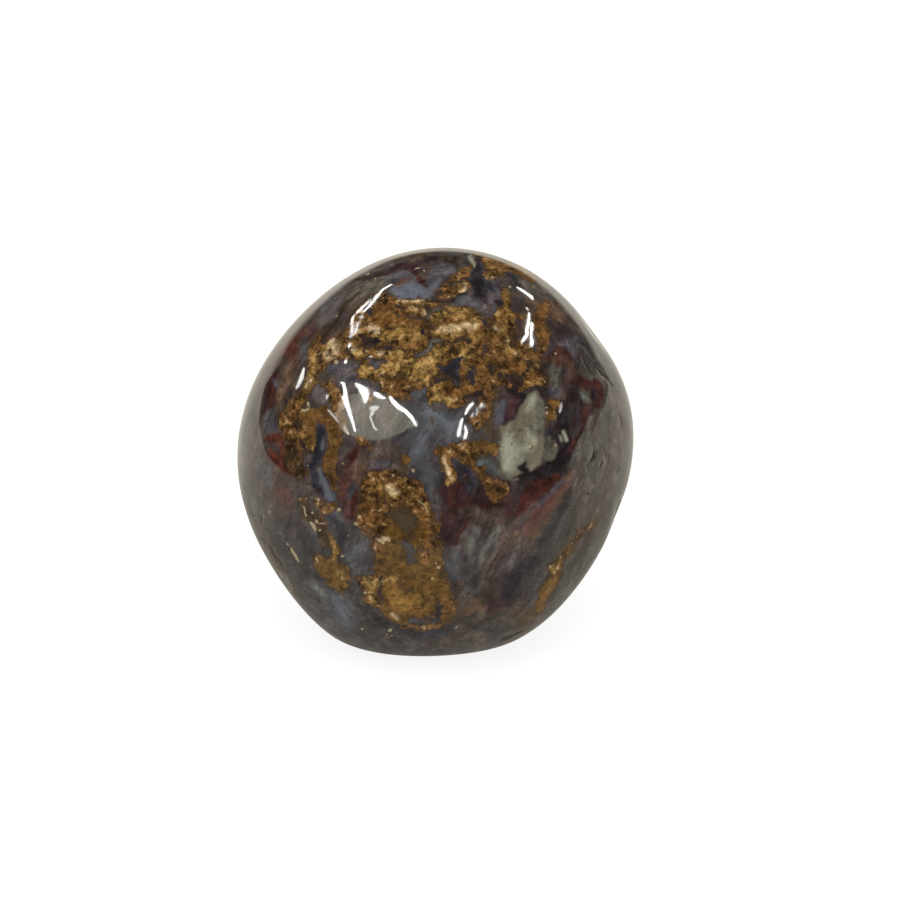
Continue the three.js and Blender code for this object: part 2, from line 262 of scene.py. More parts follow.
    ("dark_red", 0.35, (10.5, 5.5, 0.2), (11.2, 5.2, 0.35), (12.1, 5.1, 0.3), (12.4, 4.4, 0.25),
     (12.1, 3.5, 0.2)),
    ("dark_maroon", 0.4, (11.6, 4.8, 0.3), (11.8, 4.2, 0.35), (11.7, 3.6, 0.2)),
    ("near_black", 0.4, (11.6, 4.6, 0.15), (11.75, 4.2, 0.15)),
    ("dark_red", 0.35, (11.3, 2.9, 0.15), (11, 1.8, 0.2), (10.5, 0.6, 0.2), (10, -0.4, 0.15)),
    ("grey", 0.35, (11.2, 4.2, 0.2), (11.2, 3.8, 0.2)),
    ("green_grey", 0.3, (11.1, 4.3, 0.25), (11.2, 3.9, 0.28)),
    ("pale_green", 0.2, (11.15, 4, 0.14)),
    ("grey", 0.8, (11.3, 7.9, 0.4), (11.9, 7.2, 0.35), (12.6, 5.8, 0.3)),
    ("mauve_face", 0.6, (13.6, 3.2, 0.2), (13.5, 1.6, 0.3), (13.3, -0.4, 0.25), (12.6, -2.4, 0.2)),
    ("mauve_face", 0.8, (10.5, -1.5, 0.3), (11.2, -2.6, 0.5), (10.7, -3.6, 0.4)),
    ("pale_face", 0.3, (11.7, 2.6, 0.08), (11.3, 1.5, 0.1), (10.8, 0.4, 0.12), (10.2, -0.8, 0.08)),
    ("pale_face", 0.3, (11.6, 1.2, 0.08), (11.1, 0.2, 0.12), (10.6, -0.7, 0.08)),
    ("pale_face", 0.35, (12.2, 0.9, 0.08), (11.8, -0.6, 0.14), (11.2, -2, 0.1)),
    ("dark_grey", 0.3, (12.3, 0.4, 0.05), (12.1, -0.3, 0.1), (11.8, -0.9, 0.06)),
    ("dark_grey", 0.35, (12.9, 4.4, 0.08), (13.1, 3, 0.12), (13, 1.6, 0.08)),
    ("gold_smooth", 0.6, (12.2, -4.9, 0.15), (11, -6, 0.35), (9.9, -7.3, 0.35), (8.9, -8.6, 0.4)),
    ("gold_smooth", 0.6, (7.9, -11.6, 0.4), (7, -12.3, 0.4), (6.2, -12.9, 0.25)),
    # foot
    ("dark_blue", 0.5, (-2.9, -13.2, 0.25), (-1.6, -13.5, 0.45), (-0.4, -13.6, 0.45), (0.9, -13.4, 0.35)),
    ("dark_grey", 0.6, (-5.2, -11.8, 0.4), (-4.6, -12.4, 0.5), (-3.9, -13, 0.35)),
    ("grey", 1, (-4.6, -13.6, 0.4), (-2.6, -14.4, 0.5), (1, -14.6, 0.5), (4.4, -14.2, 0.5)),
    ("brown_mauve", 0.7, (0.5, -14.2, 0.4), (2.4, -13.6, 0.5), (3.6, -13.9, 0.3)),
)

# Gold and brown fibres, which are grainy
ORE = (
    # top zone: broad brown first, then its gold
    ("ore_brown", 0.5, (-8.2, 7.6, 0.7), (-6.8, 7.9, 0.95), (-5.4, 8.9, 1.5), (-4.2, 10, 1.7),
     (-2.6, 9.8, 1.6), (-1.4, 9.2, 1.6), (0.4, 9.2, 1.6), (1.8, 9.2, 1.7), (2.9, 9, 1.2)),
    ("ore_brown", 0.5, (-5.2, 7.6, 0.8), (-3.4, 7.4, 1.2), (-1.6, 7.2, 1.4), (0.4, 7.4, 1.4),
     (2.2, 7.4, 1.3), (3.2, 6.6, 0.8)),
    ("ore_brown", 0.5, (-5.4, 6.2, 0.4), (-4.2, 5.9, 0.6), (-3.2, 5.6, 1), (-1.6, 5.8, 1), (0.2, 5.8, 1.1),
     (2, 5.4, 0.9), (3.6, 5.2, 0.6)),
    ("ore_brown", 0.5, (-4, 4.9, 0.35), (-2.6, 4.5, 0.45), (-1.6, 4.9, 0.5), (0, 4.6, 0.8), (1.2, 4.2, 0.9),
     (2.4, 4.6, 0.7), (3.6, 4.9, 0.4)),
    ("ore_brown", 0.3, (-4.7, 11.5, 0.35), (-3.7, 11.3, 0.7), (-2.2, 10.9, 0.55), (-0.8, 11, 0.4),
     (0.4, 11.6, 0.4), (0.9, 12.3, 0.5), (1.6, 12.2, 0.7), (2.3, 12.6, 0.5)),
    ("ore_brown", 0.3, (1.3, 12.8, 0.3), (2, 13.3, 0.5), (2.5, 14, 0.2)),
    ("ore_orange", 0.3, (2.9, 14.9, 0.2), (3.9, 14.3, 0.4), (5.1, 13.8, 0.55), (6.2, 13.7, 0.35),
     (7.3, 13, 0.2)),
    ("ore_brown", 0.4, (5.4, 12.2, 0.3), (5.2, 11.2, 0.45), (5, 10.2, 0.8), (5.3, 9.2, 0.95),
     (5.2, 8, 0.75), (5.4, 7.4, 0.95), (6.2, 6.8, 0.95), (7.2, 6, 0.8), (8, 5.3, 0.4)),
    ("ore_brown", 0.4, (4.9, 6.6, 0.5), (5.3, 5.6, 0.7), (6.4, 5.3, 0.6)),
    ("ore_brown", 0.6, (4, 9.7, 0.3), (3.9, 8.6, 0.45), (4, 7.4, 0.6), (4.1, 6.2, 0.6), (4.2, 5.2, 0.5),
     (4, 4.4, 0.3)),
    ("ore_brown", 0.5, (6.1, 8.4, 0.3), (6.8, 7.7, 0.45), (7.5, 7.2, 0.4), (8, 8, 0.3)),
    ("ore_orange", 0.5, (8.1, 11, 0.35), (7.7, 10, 0.5), (7.9, 8.9, 0.55), (8, 8.3, 0.3)),
    ("ore_gold", 0.3, (-4.4, 12, 0.15), (-3.6, 11.6, 0.3), (-2.6, 11.3, 0.25), (-1.5, 11.2, 0.22),
     (-0.4, 11.4, 0.2)),
    ("ore_orange", 0.4, (-4.8, 10.4, 0.5), (-3.6, 10.4, 0.7), (-2.4, 9.9, 0.6), (-1.2, 9.6, 0.5)),
    ("ore_gold", 0.4, (-5.5, 9.3, 0.3), (-5.8, 8.3, 0.5), (-6.4, 8, 0.5), (-6, 7.4, 0.4),
     (-5.2, 7.3, 0.3)),
    ("ore_gold", 0.4, (-4.6, 9.1, 0.5), (-3.3, 8.6, 0.6), (-2, 8.9, 0.6), (-1, 8.6, 0.5)),
    ("ore_gold", 0.4, (-4.2, 7.4, 0.4), (-2.8, 7.2, 0.3), (-1.9, 7.6, 0.5), (-1, 7, 0.5), (0.2, 7.2, 0.5)),
    ("ore_gold", 0.4, (-5.4, 6.2, 0.3), (-3, 6.5, 0.5), (-1.8, 6.4, 0.6), (-0.8, 6.2, 0.6),
     (0.3, 6.9, 0.5)),
    ("ore_gold", 0.4, (0.1, 9.9, 0.5), (1.2, 10.1, 0.8), (2.2, 10.3, 0.8), (3, 9.9, 0.5), (2.4, 9.3, 0.4)),
    ("ore_light", 0.4, (-0.1, 9, 0.35), (0.8, 9.1, 0.6), (1.7, 9.2, 0.45)),
    ("ore_gold", 0.4, (0, 8.6, 0.3), (0.9, 8.6, 0.3), (1.6, 7.7, 0.4), (2.6, 7.8, 0.5), (3, 8.6, 0.4)),
    ("ore_gold", 0.4, (0.6, 7.6, 0.3), (3, 6.9, 0.3), (3.2, 6.3, 0.35), (3.6, 5.7, 0.25)),
    ("ore_orange", 0.4, (1.9, 6.4, 0.3), (2, 5.8, 0.3), (0.9, 5, 0.35), (1.1, 4.4, 0.3), (2.2, 4.6, 0.3),
     (3, 5, 0.3)),
    ("ore_gold", 0.35, (-0.4, 3.8, 0.25), (0.1, 3.8, 0.22), (0.1, 4.7, 0.3)),
    ("ore_gold", 0.35, (1.2, 4, 0.15), (1.15, 3.5, 0.22)),
    ("ore_gold", 0.25, (1.5, 12.5, 0.2), (2.1, 12.3, 0.25), (1.9, 13.1, 0.2), (2.4, 13.4, 0.15)),
    ("ore_gold", 0.25, (3.6, 13.6, 0.2), (4, 13.3, 0.28), (4.8, 13.7, 0.25), (3.4, 14.5, 0.15)),
    ("ore_gold", 0.3, (5.4, 11.8, 0.2), (5.3, 11.1, 0.15), (5.4, 10.4, 0.25), (5.5, 9.8, 0.4),
     (4.8, 9.4, 0.35)),
    ("ore_gold", 0.3, (4.7, 10.3, 0.2), (5.3, 9, 0.3), (5.5, 8.5, 0.25), (5.3, 7.6, 0.35), (6, 7.5, 0.25)),
    ("ore_orange", 0.4, (5.8, 6.6, 0.4), (6.8, 6.3, 0.4), (7.4, 5.5, 0.35)),
    ("ore_orange", 0.25, (6.2, 10.2, 0.22), (6.6, 10.1, 0.15)),
    ("ore_orange", 0.3, (8.5, 3.6, 0.2), (9.1, 3.5, 0.25), (8.7, 2.9, 0.25)),
    ("ore_olive", 0.3, (8.6, 2.6, 0.35), (8.4, 1.9, 0.25), (8.7, 1.5, 0.15)),
    # left edge: fibres that run down, and a ring
    ("ore_gold", 0.3, (-8.4, 7.7, 0.45), (-7.5, 7.6, 0.55), (-7.9, 8.3, 0.4)),
    ("ore_brown", 0.3, (-8.8, 8.8, 0.12), (-9.4, 7.6, 0.25), (-9.4, 6.6, 0.35), (-8.9, 6.4, 0.4),
     (-8.6, 6.9, 0.3)),
    ("ore_brown", 0.35, (-9.3, 6.2, 0.4), (-9.7, 5.2, 0.45), (-10.2, 4.2, 0.5), (-10.6, 3, 0.6),
     (-10.6, 2, 0.9), (-10.3, 1.2, 0.8), (-9.9, 0.6, 0.45)),
    ("ore_gold", 0.3, (-9.35, 6.6, 0.2), (-9.6, 5.7, 0.28), (-9.8, 4.9, 0.28), (-10.2, 4, 0.15),
     (-10.4, 3.2, 0.1)),
    ("ore_brown", 0.3, (-11.6, 2.8, 0.15), (-11.5, 1.9, 0.3), (-11.2, 1.4, 0.25)),
    ("ore_olive", 0.3, (-10.2, 2.5, 0.35), (-9.4, 2.8, 0.5), (-8.6, 2.9, 0.6), (-7.9, 2.5, 0.6),
     (-7.6, 1.5, 0.6), (-7.7, 0.4, 0.6), (-7.9, -0.5, 0.55), (-7.9, -1.5, 0.5), (-7.8, -2.4, 0.3)),
    ("ore_olive", 0.3, (-9.5, 2.2, 0.4), (-9.4, 1.2, 0.35), (-9.2, 0.5, 0.3)),
    ("ore_brown", 0.3, (-8.5, 5, 0.2), (-7.9, 4.8, 0.35), (-7.6, 4.1, 0.5), (-7.2, 3.3, 0.45),
     (-6.9, 2.5, 0.35), (-6.6, 1.8, 0.2)),
    ("ore_orange", 0.3, (-5.5, 4.3, 0.15), (-5, 4.1, 0.3), (-4.6, 3.9, 0.15)),
    ("ore_dark", 0.4, (-10.9, 0.3, 0.35), (-10.7, -0.5, 0.7), (-10.2, -1.5, 0.5)),
    ("ore_orange", 0.5, (-5.6, 1, 0.3), (-5, 0.8, 0.3)),
    # right of the middle
    ("ore_brown", 0.4, (0.3, 0.1, 0.35), (1.2, 0.1, 0.5), (2.4, 0.2, 0.6), (3.6, 0.4, 0.6),
     (4.4, 0.3, 0.45)),
    ("ore_brown", 0.4, (0.6, -0.6, 0.3), (1.2, -1.5, 0.5), (1, -2.3, 0.25)),
    ("ore_brown", 0.4, (2.2, -0.4, 0.4), (3, -0.8, 0.4), (3.6, -1.8, 0.35), (4.2, -2.5, 0.55),
     (4.8, -2.7, 0.65), (4.4, -3.3, 0.4)),
    ("ore_brown", 0.4, (2.5, 2.5, 0.2), (3.2, 2, 0.35), (3.8, 3, 0.4), (3.6, 3.8, 0.4)),
    ("ore_gold", 0.3, (0.5, -0.3, 0.15), (0.9, -0.8, 0.2), (1.2, -1.6, 0.3), (0.9, -2.4, 0.18)),
    ("ore_dark", 0.4, (4.5, -2.5, 0.35), (4.8, -3, 0.3)),
    ("ore_olive", 0.3, (-2.3, -0.5, 0.3), (-2.4, -0.9, 0.1)),
    # large patch below the middle
    ("ore_brown", 0.4, (-4.6, -2.3, 0.75), (-3.2, -2.6, 1.2), (-2.6, -3.8, 2), (-2.9, -5.1, 2.6),
     (-2.4, -6.8, 2.3), (-2.3, -8.4, 2.2), (-2.5, -10, 2.2), (-2.2, -11.2, 1.7), (-2, -12.2, 0.9)),
    ("ore_brown", 0.4, (-4.8, -2.6, 0.6), (-5.2, -3.6, 0.5), (-5.5, -5.3, 0.45), (-5, -5.9, 0.4)),
    ("ore_brown", 0.35, (-5.7, -9.6, 0.2), (-5.2, -10, 0.5), (-4.8, -10.8, 0.5), (-4.2, -11.4, 0.4)),
    ("ore_smooth", 0.7, (0, -5.6, 0.3), (0.1, -9, 0.5), (0.5, -10.4, 0.6), (0.7, -11.6, 0.6),
     (0.7, -12.6, 0.4)),
    ("ore_smooth", 0.6, (-2.2, -6.6, 1.8), (-2.4, -8.4, 2.2), (-2.3, -10.2, 2.2), (-1.8, -11.4, 1.6)),
    ("ore_gold", 0.4, (-4.4, -2.5, 0.3), (-3.8, -3, 0.4), (-3, -3.2, 0.3)),
    ("ore_orange", 0.5, (-0.8, -4.8, 0.3), (-0.5, -6, 0.3), (-0.8, -7, 0.4), (-0.7, -8.2, 0.3)),
    ("ore_gold", 0.4, (-5.4, -9.8, 0.25), (-4.9, -10.1, 0.4), (-4.7, -10.9, 0.3)),
    ("ore_smooth", 0.5, (-3.4, -10, 0.4), (-3, -10.9, 0.8), (-2.2, -10.8, 0.9), (-1.1, -10.9, 0.8),
     (-0.6, -11.5, 0.5), (-2.6, -12, 0.6), (-3.5, -12, 0.45)),
    ("ore_amber", 0.9, (-3.4, -10.4, 0.3), (-3, -11.2, 0.6), (-2.2, -11.4, 0.7), (-1.2, -11.2, 0.6),
     (-0.9, -10.4, 0.3)),
    ("ore_brown", 0.25, (-2.6, -13, 0.15), (-1.4, -13.15, 0.15), (-0.6, -13.15, 0.15), (0.2, -13, 0.12)),
    # small patches on the left, streak on the lower right
    ("ore_smooth", 0.6, (-8.8, -8.2, 0.35), (-8, -8.6, 0.65), (-7.3, -9.3, 0.8), (-6.9, -10, 0.4)),
    ("ore_gold", 0.3, (-8, -6.3, 0.12), (-7.7, -6.9, 0.28), (-7.4, -7.4, 0.3), (-7.6, -7.9, 0.15)),
    ("ore_brown", 0.3, (-9.1, -3.8, 0.25), (-8.4, -4.2, 0.4), (-7.8, -3.9, 0.25)),
    ("ore_dark", 0.35, (-10, -3.8, 0.3), (-9.7, -4.7, 0.45), (-8.9, -5.3, 0.45), (-8.4, -6.2, 0.45),
     (-8.1, -7, 0.25)),
    ("ore_brown", 0.3, (11.7, -5.4, 0.1), (10.9, -6.2, 0.15), (10.2, -6.9, 0.12), (9.6, -7.7, 0.15),
     (9.2, -8.3, 0.3)),
    ("ore_smooth", 0.35, (9.1, -8.4, 0.35), (8.8, -9.4, 0.5), (8.4, -10.3, 0.5), (8, -11.2, 0.35),
     (7.7, -11.9, 0.2)),
)

# Clear and dark patches that cut through the gold, and the quartz crystal
WINDOWS = (
    # blue cap and its marks
    ("violet_grey", 0.4, (-3.6, 13, 0.35), (-2.6, 13.2, 0.5), (-1.7, 13.3, 0.4)),
    ("blue", 0.3, (-3.2, 12.2, 0.3), (-2.4, 12.2, 0.62), (-1.4, 12.15, 0.65), (-0.6, 12, 0.45),
     (-0.1, 11.85, 0.2)),
    ("salmon", 0.3, (-2.9, 12.65, 0.14), (-2.5, 12.9, 0.27), (-2.1, 13.1, 0.14)),
    ("mauve_grey", 0.3, (-1.3, 14.1, 0.25), (-0.9, 13.8, 0.25)),
    ("violet_grey", 0.4, (-0.5, 12.5, 0.4), (0, 13.1, 0.6), (0.5, 13.7, 0.65), (1.2, 13.7, 0.4)),
    ("blue", 0.4, (-0.2, 12.4, 0.2), (0.3, 12.9, 0.2)),
    ("dark_red", 0.25, (-1.7, 13.75, 0.12), (-1.35, 13.4, 0.22), (-1.1, 12.8, 0.22), (-0.7, 12.4, 0.08)),
    ("near_black", 0.25, (-0.75, 14.4, 0.15), (0, 14.55, 0.16)),
    ("dark_brown", 0.3, (0.4, 14.5, 0.25), (1.2, 14.4, 0.35), (1.5, 14, 0.2), (1.6, 13.6, 0.12)),
    ("quartz_light", 0.2, (2.35, 14.75, 0.08), (2.6, 14.35, 0.14), (2.75, 14, 0.07)),
    # dark and violet seam right of it
    ("violet_grey", 0.4, (1.9, 11.3, 0.2), (2.6, 11.4, 0.4), (3.4, 11.1, 0.5), (4.1, 10.6, 0.45),
     (4.4, 11.5, 0.5), (4.4, 12.4, 0.5)),
    ("violet_light", 0.6, (3.8, 10.9, 0.2), (4.3, 11.4, 0.3)),
    ("dark_violet", 0.3, (3.2, 14.6, 0.2), (3, 13.6, 0.35), (3.3, 12.6, 0.6), (3.4, 11.8, 0.45),
     (3.7, 11.2, 0.2)),
    ("dark_blue", 0.3, (2.7, 12.9, 0.25), (3.9, 12.7, 0.35), (4.3, 12, 0.25)),
    ("near_black", 0.4, (3.3, 13.2, 0.2), (3.3, 12.5, 0.4), (3.5, 11.9, 0.25)),
    ("near_black", 0.3, (4.5, 11.3, 0.15), (4.9, 11.1, 0.25), (4.8, 10.8, 0.1)),
    ("near_black", 0.25, (1.3, 11.5, 0.12), (2, 11.95, 0.15), (2.4, 12.1, 0.1)),
    ("near_black", 0.4, (1.9, 12.8, 0.1), (2.3, 13, 0.12)),
    ("dark_brown", 0.4, (0.9, 12.9, 0.12), (1.3, 12.6, 0.14)),
    ("dark_brown", 0.5, (0.5, 12.2, 0.14), (0.9, 12, 0.1)),
    ("dark_grey", 0.3, (5.4, 13.5, 0.25), (5.8, 13, 0.4), (5.8, 12.4, 0.3), (6.3, 12.6, 0.2)),
    ("dark_grey", 0.35, (5.9, 11.6, 0.25), (6.3, 11.4, 0.4), (6, 10.9, 0.35), (6.6, 10.9, 0.25)),
    ("dark_maroon", 0.3, (6.1, 9.9, 0.2), (6.4, 9.5, 0.32), (6.5, 9, 0.2)),
    ("dark_mauve", 0.5, (6.3, 8.7, 0.2), (6.7, 8.3, 0.2)),
    ("dark_grey", 0.4, (3.85, 8.7, 0.1), (3.8, 8, 0.18), (3.9, 7.4, 0.1)),
    ("dark_violet", 0.4, (4.15, 6.5, 0.1), (4.3, 5.8, 0.14)),
    ("dark_violet", 0.3, (3.3, 10.1, 0.12), (3.8, 9.7, 0.2), (4.1, 9.3, 0.15)),
    ("dark_blue", 0.3, (1.8, 6.9, 0.25), (1.4, 6.4, 0.45), (0.7, 5.9, 0.3), (0.2, 6.2, 0.15)),
    ("dark_violet", 0.3, (1.2, 5.9, 0.3), (1.5, 5.5, 0.3)),
    ("dark_blue", 0.3, (2.4, 5.6, 0.25), (2.9, 6.1, 0.25), (2.7, 5.3, 0.2)),
    ("dark_mauve", 0.35, (-0.3, 5.1, 0.15), (0.6, 5.3, 0.2), (1.8, 5, 0.15)),
    ("dark_brown", 0.4, (5.8, 5.9, 0.12), (6.6, 5.7, 0.15), (7.1, 6.6, 0.08)),
    ("dark_maroon", 0.5, (4.9, 5.9, 0.3), (5.6, 5.5, 0.3), (6.2, 5.2, 0.25)),
    ("dark_grey", 0.5, (7.1, 7.9, 0.12), (7.3, 7.6, 0.15)),
    ("dark_brown", 0.4, (5.1, 8.2, 0.1), (5.8, 8, 0.15), (5.9, 8.9, 0.15)),
    ("dark_maroon", 0.35, (2, 4.1, 0.2), (2.8, 4.2, 0.25), (3.4, 4.5, 0.2)),
    ("dark_brown", 0.3, (1.2, 8.2, 0.12), (2, 8.45, 0.16), (2.5, 8.3, 0.2)),
    # pale green veins
    ("pale_green", 0.5, (-0.45, 10, 0.08), (-0.1, 10.4, 0.16)),
    ("pale_green", 0.5, (0.25, 10.65, 0.12), (0.7, 10.8, 0.1)),
    ("blue_grey", 0.25, (1.3, 11.2, 0.1), (2, 11.6, 0.2), (2.4, 11.8, 0.12)),
    ("pale_green", 0.6, (-0.55, 7.55, 0.08), (-0.3, 7.85, 0.15)),
    ("pale_green", 0.6, (0, 8.2, 0.16), (0.4, 8.25, 0.1)),
    ("mauve_grey", 0.4, (-1.5, 7.1, 0.15), (-0.8, 7.4, 0.25)),
    ("dark_violet", 0.25, (-0.9, 9.3, 0.1), (-0.95, 8.9, 0.2), (-0.65, 8.8, 0.12)),
    ("dark_brown", 0.3, (-0.5, 9.8, 0.2), (-0.3, 9.5, 0.15)),
    ("dark_blue", 0.3, (-5.3, 11, 0.15), (-4.8, 10.6, 0.28), (-4.5, 10.9, 0.12)),
    ("near_black", 0.4, (-4.8, 8.1, 0.15), (-4.4, 8.4, 0.3), (-4, 8.3, 0.12)),
    ("dark_brown", 0.5, (-2.9, 10.9, 0.1), (-2.3, 10.8, 0.14), (-1.8, 10.6, 0.1)),
    ("dark_brown", 0.5, (-0.6, 10.9, 0.12), (-0.3, 10.6, 0.08)),
    ("dark_brown", 0.5, (-0.1, 11.7, 0.08), (0.3, 11.9, 0.12)),
    ("dark_brown", 0.3, (-5.6, 8.8, 0.2), (-5.2, 8.3, 0.3), (-5.1, 7.7, 0.2)),
    ("dark_brown", 0.3, (-6.7, 7.7, 0.15), (-6.3, 7.1, 0.2), (-6.6, 8.3, 0.12)),
    ("dark_violet", 0.25, (-3.6, 7.8, 0.2), (-2.9, 7.7, 0.15), (-2.3, 7.5, 0.12)),
    ("violet_grey", 0.35, (-5, 7, 0.15), (-4.6, 6.6, 0.32), (-4.1, 6.8, 0.2)),
    ("blue_grey", 0.4, (-1.7, 4.3, 0.35), (-0.9, 4.4, 0.35)),
    ("mauve_grey", 0.4, (-0.1, 3.2, 0.25), (0.6, 3.4, 0.2)),
    # windows in the left fibres
    ("violet_light", 0.3, (-9, 4.7, 0.35), (-8.8, 4.2, 0.48), (-8.5, 4.7, 0.25)),
    ("dark_brown", 0.3, (-10.1, 5.7, 0.06), (-10.3, 4.9, 0.08), (-10.5, 4, 0.05)),
    ("dark_blue", 0.3, (-8.75, 1.75, 0.32), (-8.65, 0.9, 0.45), (-8.7, 0.1, 0.42), (-9.1, -0.6, 0.32)),
    ("dark_blue", 0.3, (-9.4, -0.9, 0.3), (-9.2, -1.8, 0.35), (-8.9, -2.6, 0.35), (-8.5, -2.9, 0.3)),
    ("blue_grey", 0.3, (-8.45, 1.2, 0.1), (-8.45, 0.4, 0.12)),
    ("blue", 0.35, (-8.75, -1.2, 0.12), (-8.6, -2, 0.25), (-8.2, -2.9, 0.3), (-7.9, -3.3, 0.32)),
    ("near_black", 0.25, (-10.3, 1.1, 0.06), (-9.9, 0.6, 0.14), (-9.4, 0.2, 0.12), (-9, 0.15, 0.08)),
    ("ore_shadow", 0.3, (-10.3, 2.2, 0.1), (-10.3, 1.6, 0.14)),
    # dark blue flow under the middle
    ("dark_violet", 0.4, (1.7, -0.8, 0.2), (2.2, -1.4, 0.45), (2.5, -2.1, 0.55), (2.7, -2.9, 0.3)),
    ("blue_green", 0.3, (3.4, -0.8, 0.2), (4, -1, 0.4), (4.6, -1.5, 0.25)),
    ("near_black", 0.3, (2.4, -2.1, 0.25), (2.7, -2.5, 0.15)),
    # windows in the large lower patch
    ("window_olive", 0.5, (-3.2, -4.6, 0.5), (-2.4, -4.9, 0.8), (-2, -5.3, 0.7)),
    ("window_blue", 0.4, (-2.3, -7, 0.35), (-1.95, -7.5, 0.5), (-1.8, -8, 0.35)),
    ("violet_grey", 0.4, (-6.2, -6.7, 0.25), (-5.6, -7, 0.5), (-5.7, -7.9, 0.5), (-5.5, -8.5, 0.4)),
    ("blue_grey", 0.4, (-5.7, -7, 0.25), (-5.8, -7.9, 0.25)),
    ("dark_brown", 0.3, (-4.3, -11.6, 0.12), (-4, -11.2, 0.15), (-4.1, -9.6, 0.1)),
    ("violet_grey", 0.3, (-2, -12.65, 0.15), (-1.4, -12.7, 0.25), (-0.8, -12.6, 0.15)),
    ("dark_brown", 0.5, (0, -11.4, 0.08), (0, -12.3, 0.12)),
    # quartz crystal with its dark edge
    ("near_black", 0.4, (6.4, -1.9, 0.3), (7.3, -1.9, 0.4), (8.2, -1.5, 0.45), (9.1, -1.1, 0.5),
     (9.9, -0.6, 0.35)),
    ("dark_violet", 0.35, (9.3, 0.3, 0.25), (8.7, 1.3, 0.3), (8.5, 2.2, 0.2)),
    ("dark_blue", 0.3, (7, -2.05, 0.15), (7.4, -2, 0.18)),
    ("quartz", 0.25, (7.4, 4, 0.62), (7.2, 3, 0.98), (7, 2, 1.15), (6.6, 1, 1.6), (6.6, 0.1, 1.6),
     (6, -0.8, 1), (5.5, -1.5, 0.5)),
    ("quartz", 0.25, (4.9, 1.8, 0.2), (5.2, 1.6, 0.4), (5.9, 1.5, 0.5)),
    ("quartz", 0.25, (7.5, 0.2, 0.75), (7.6, -0.6, 0.45)),
    ("quartz_grey", 0.25, (8.5, 0.9, 0.2), (8.8, 0.1, 0.4), (8.6, -0.4, 0.4)),
    ("quartz_grey", 0.5, (7.8, 3.8, 0.3), (7.9, 2.6, 0.3), (7.8, 1.4, 0.35), (7.2, 1.7, 0.3)),
    ("quartz_light", 0.9, (5.5, 0.9, 0.5), (5.8, -0.1, 0.75), (5.6, -1, 0.45)),
    ("quartz_light", 0.8, (6.8, 0.3, 0.3), (7.3, 0.6, 0.3), (6.9, 1.5, 0.2)),
    ("quartz_light", 0.7, (7, 3.4, 0.2), (7.4, 4.1, 0.3)),
    ("near_black", 0.3, (6.75, -0.75, 0.15), (6.4, -1.1, 0.28), (6.7, -1.4, 0.3)),
    ("dark_brown", 0.25, (8.75, 0.9, 0.12), (8.6, 0.3, 0.08)),
    ("quartz_light", 0.2, (9.6, 1.3, 0.1), (9.75, 0.7, 0.14)),
    ("quartz_light", 0.2, (9.35, 1, 0.06), (9.4, 0.7, 0.06)),
    ("quartz_grey", 0.25, (4.7, -1.3, 0.2), (5.1, -1.9, 0.2)),
    ("pale_face", 0.25, (5.6, -2.1, 0.06), (6.1, -2.15, 0.06)),
)

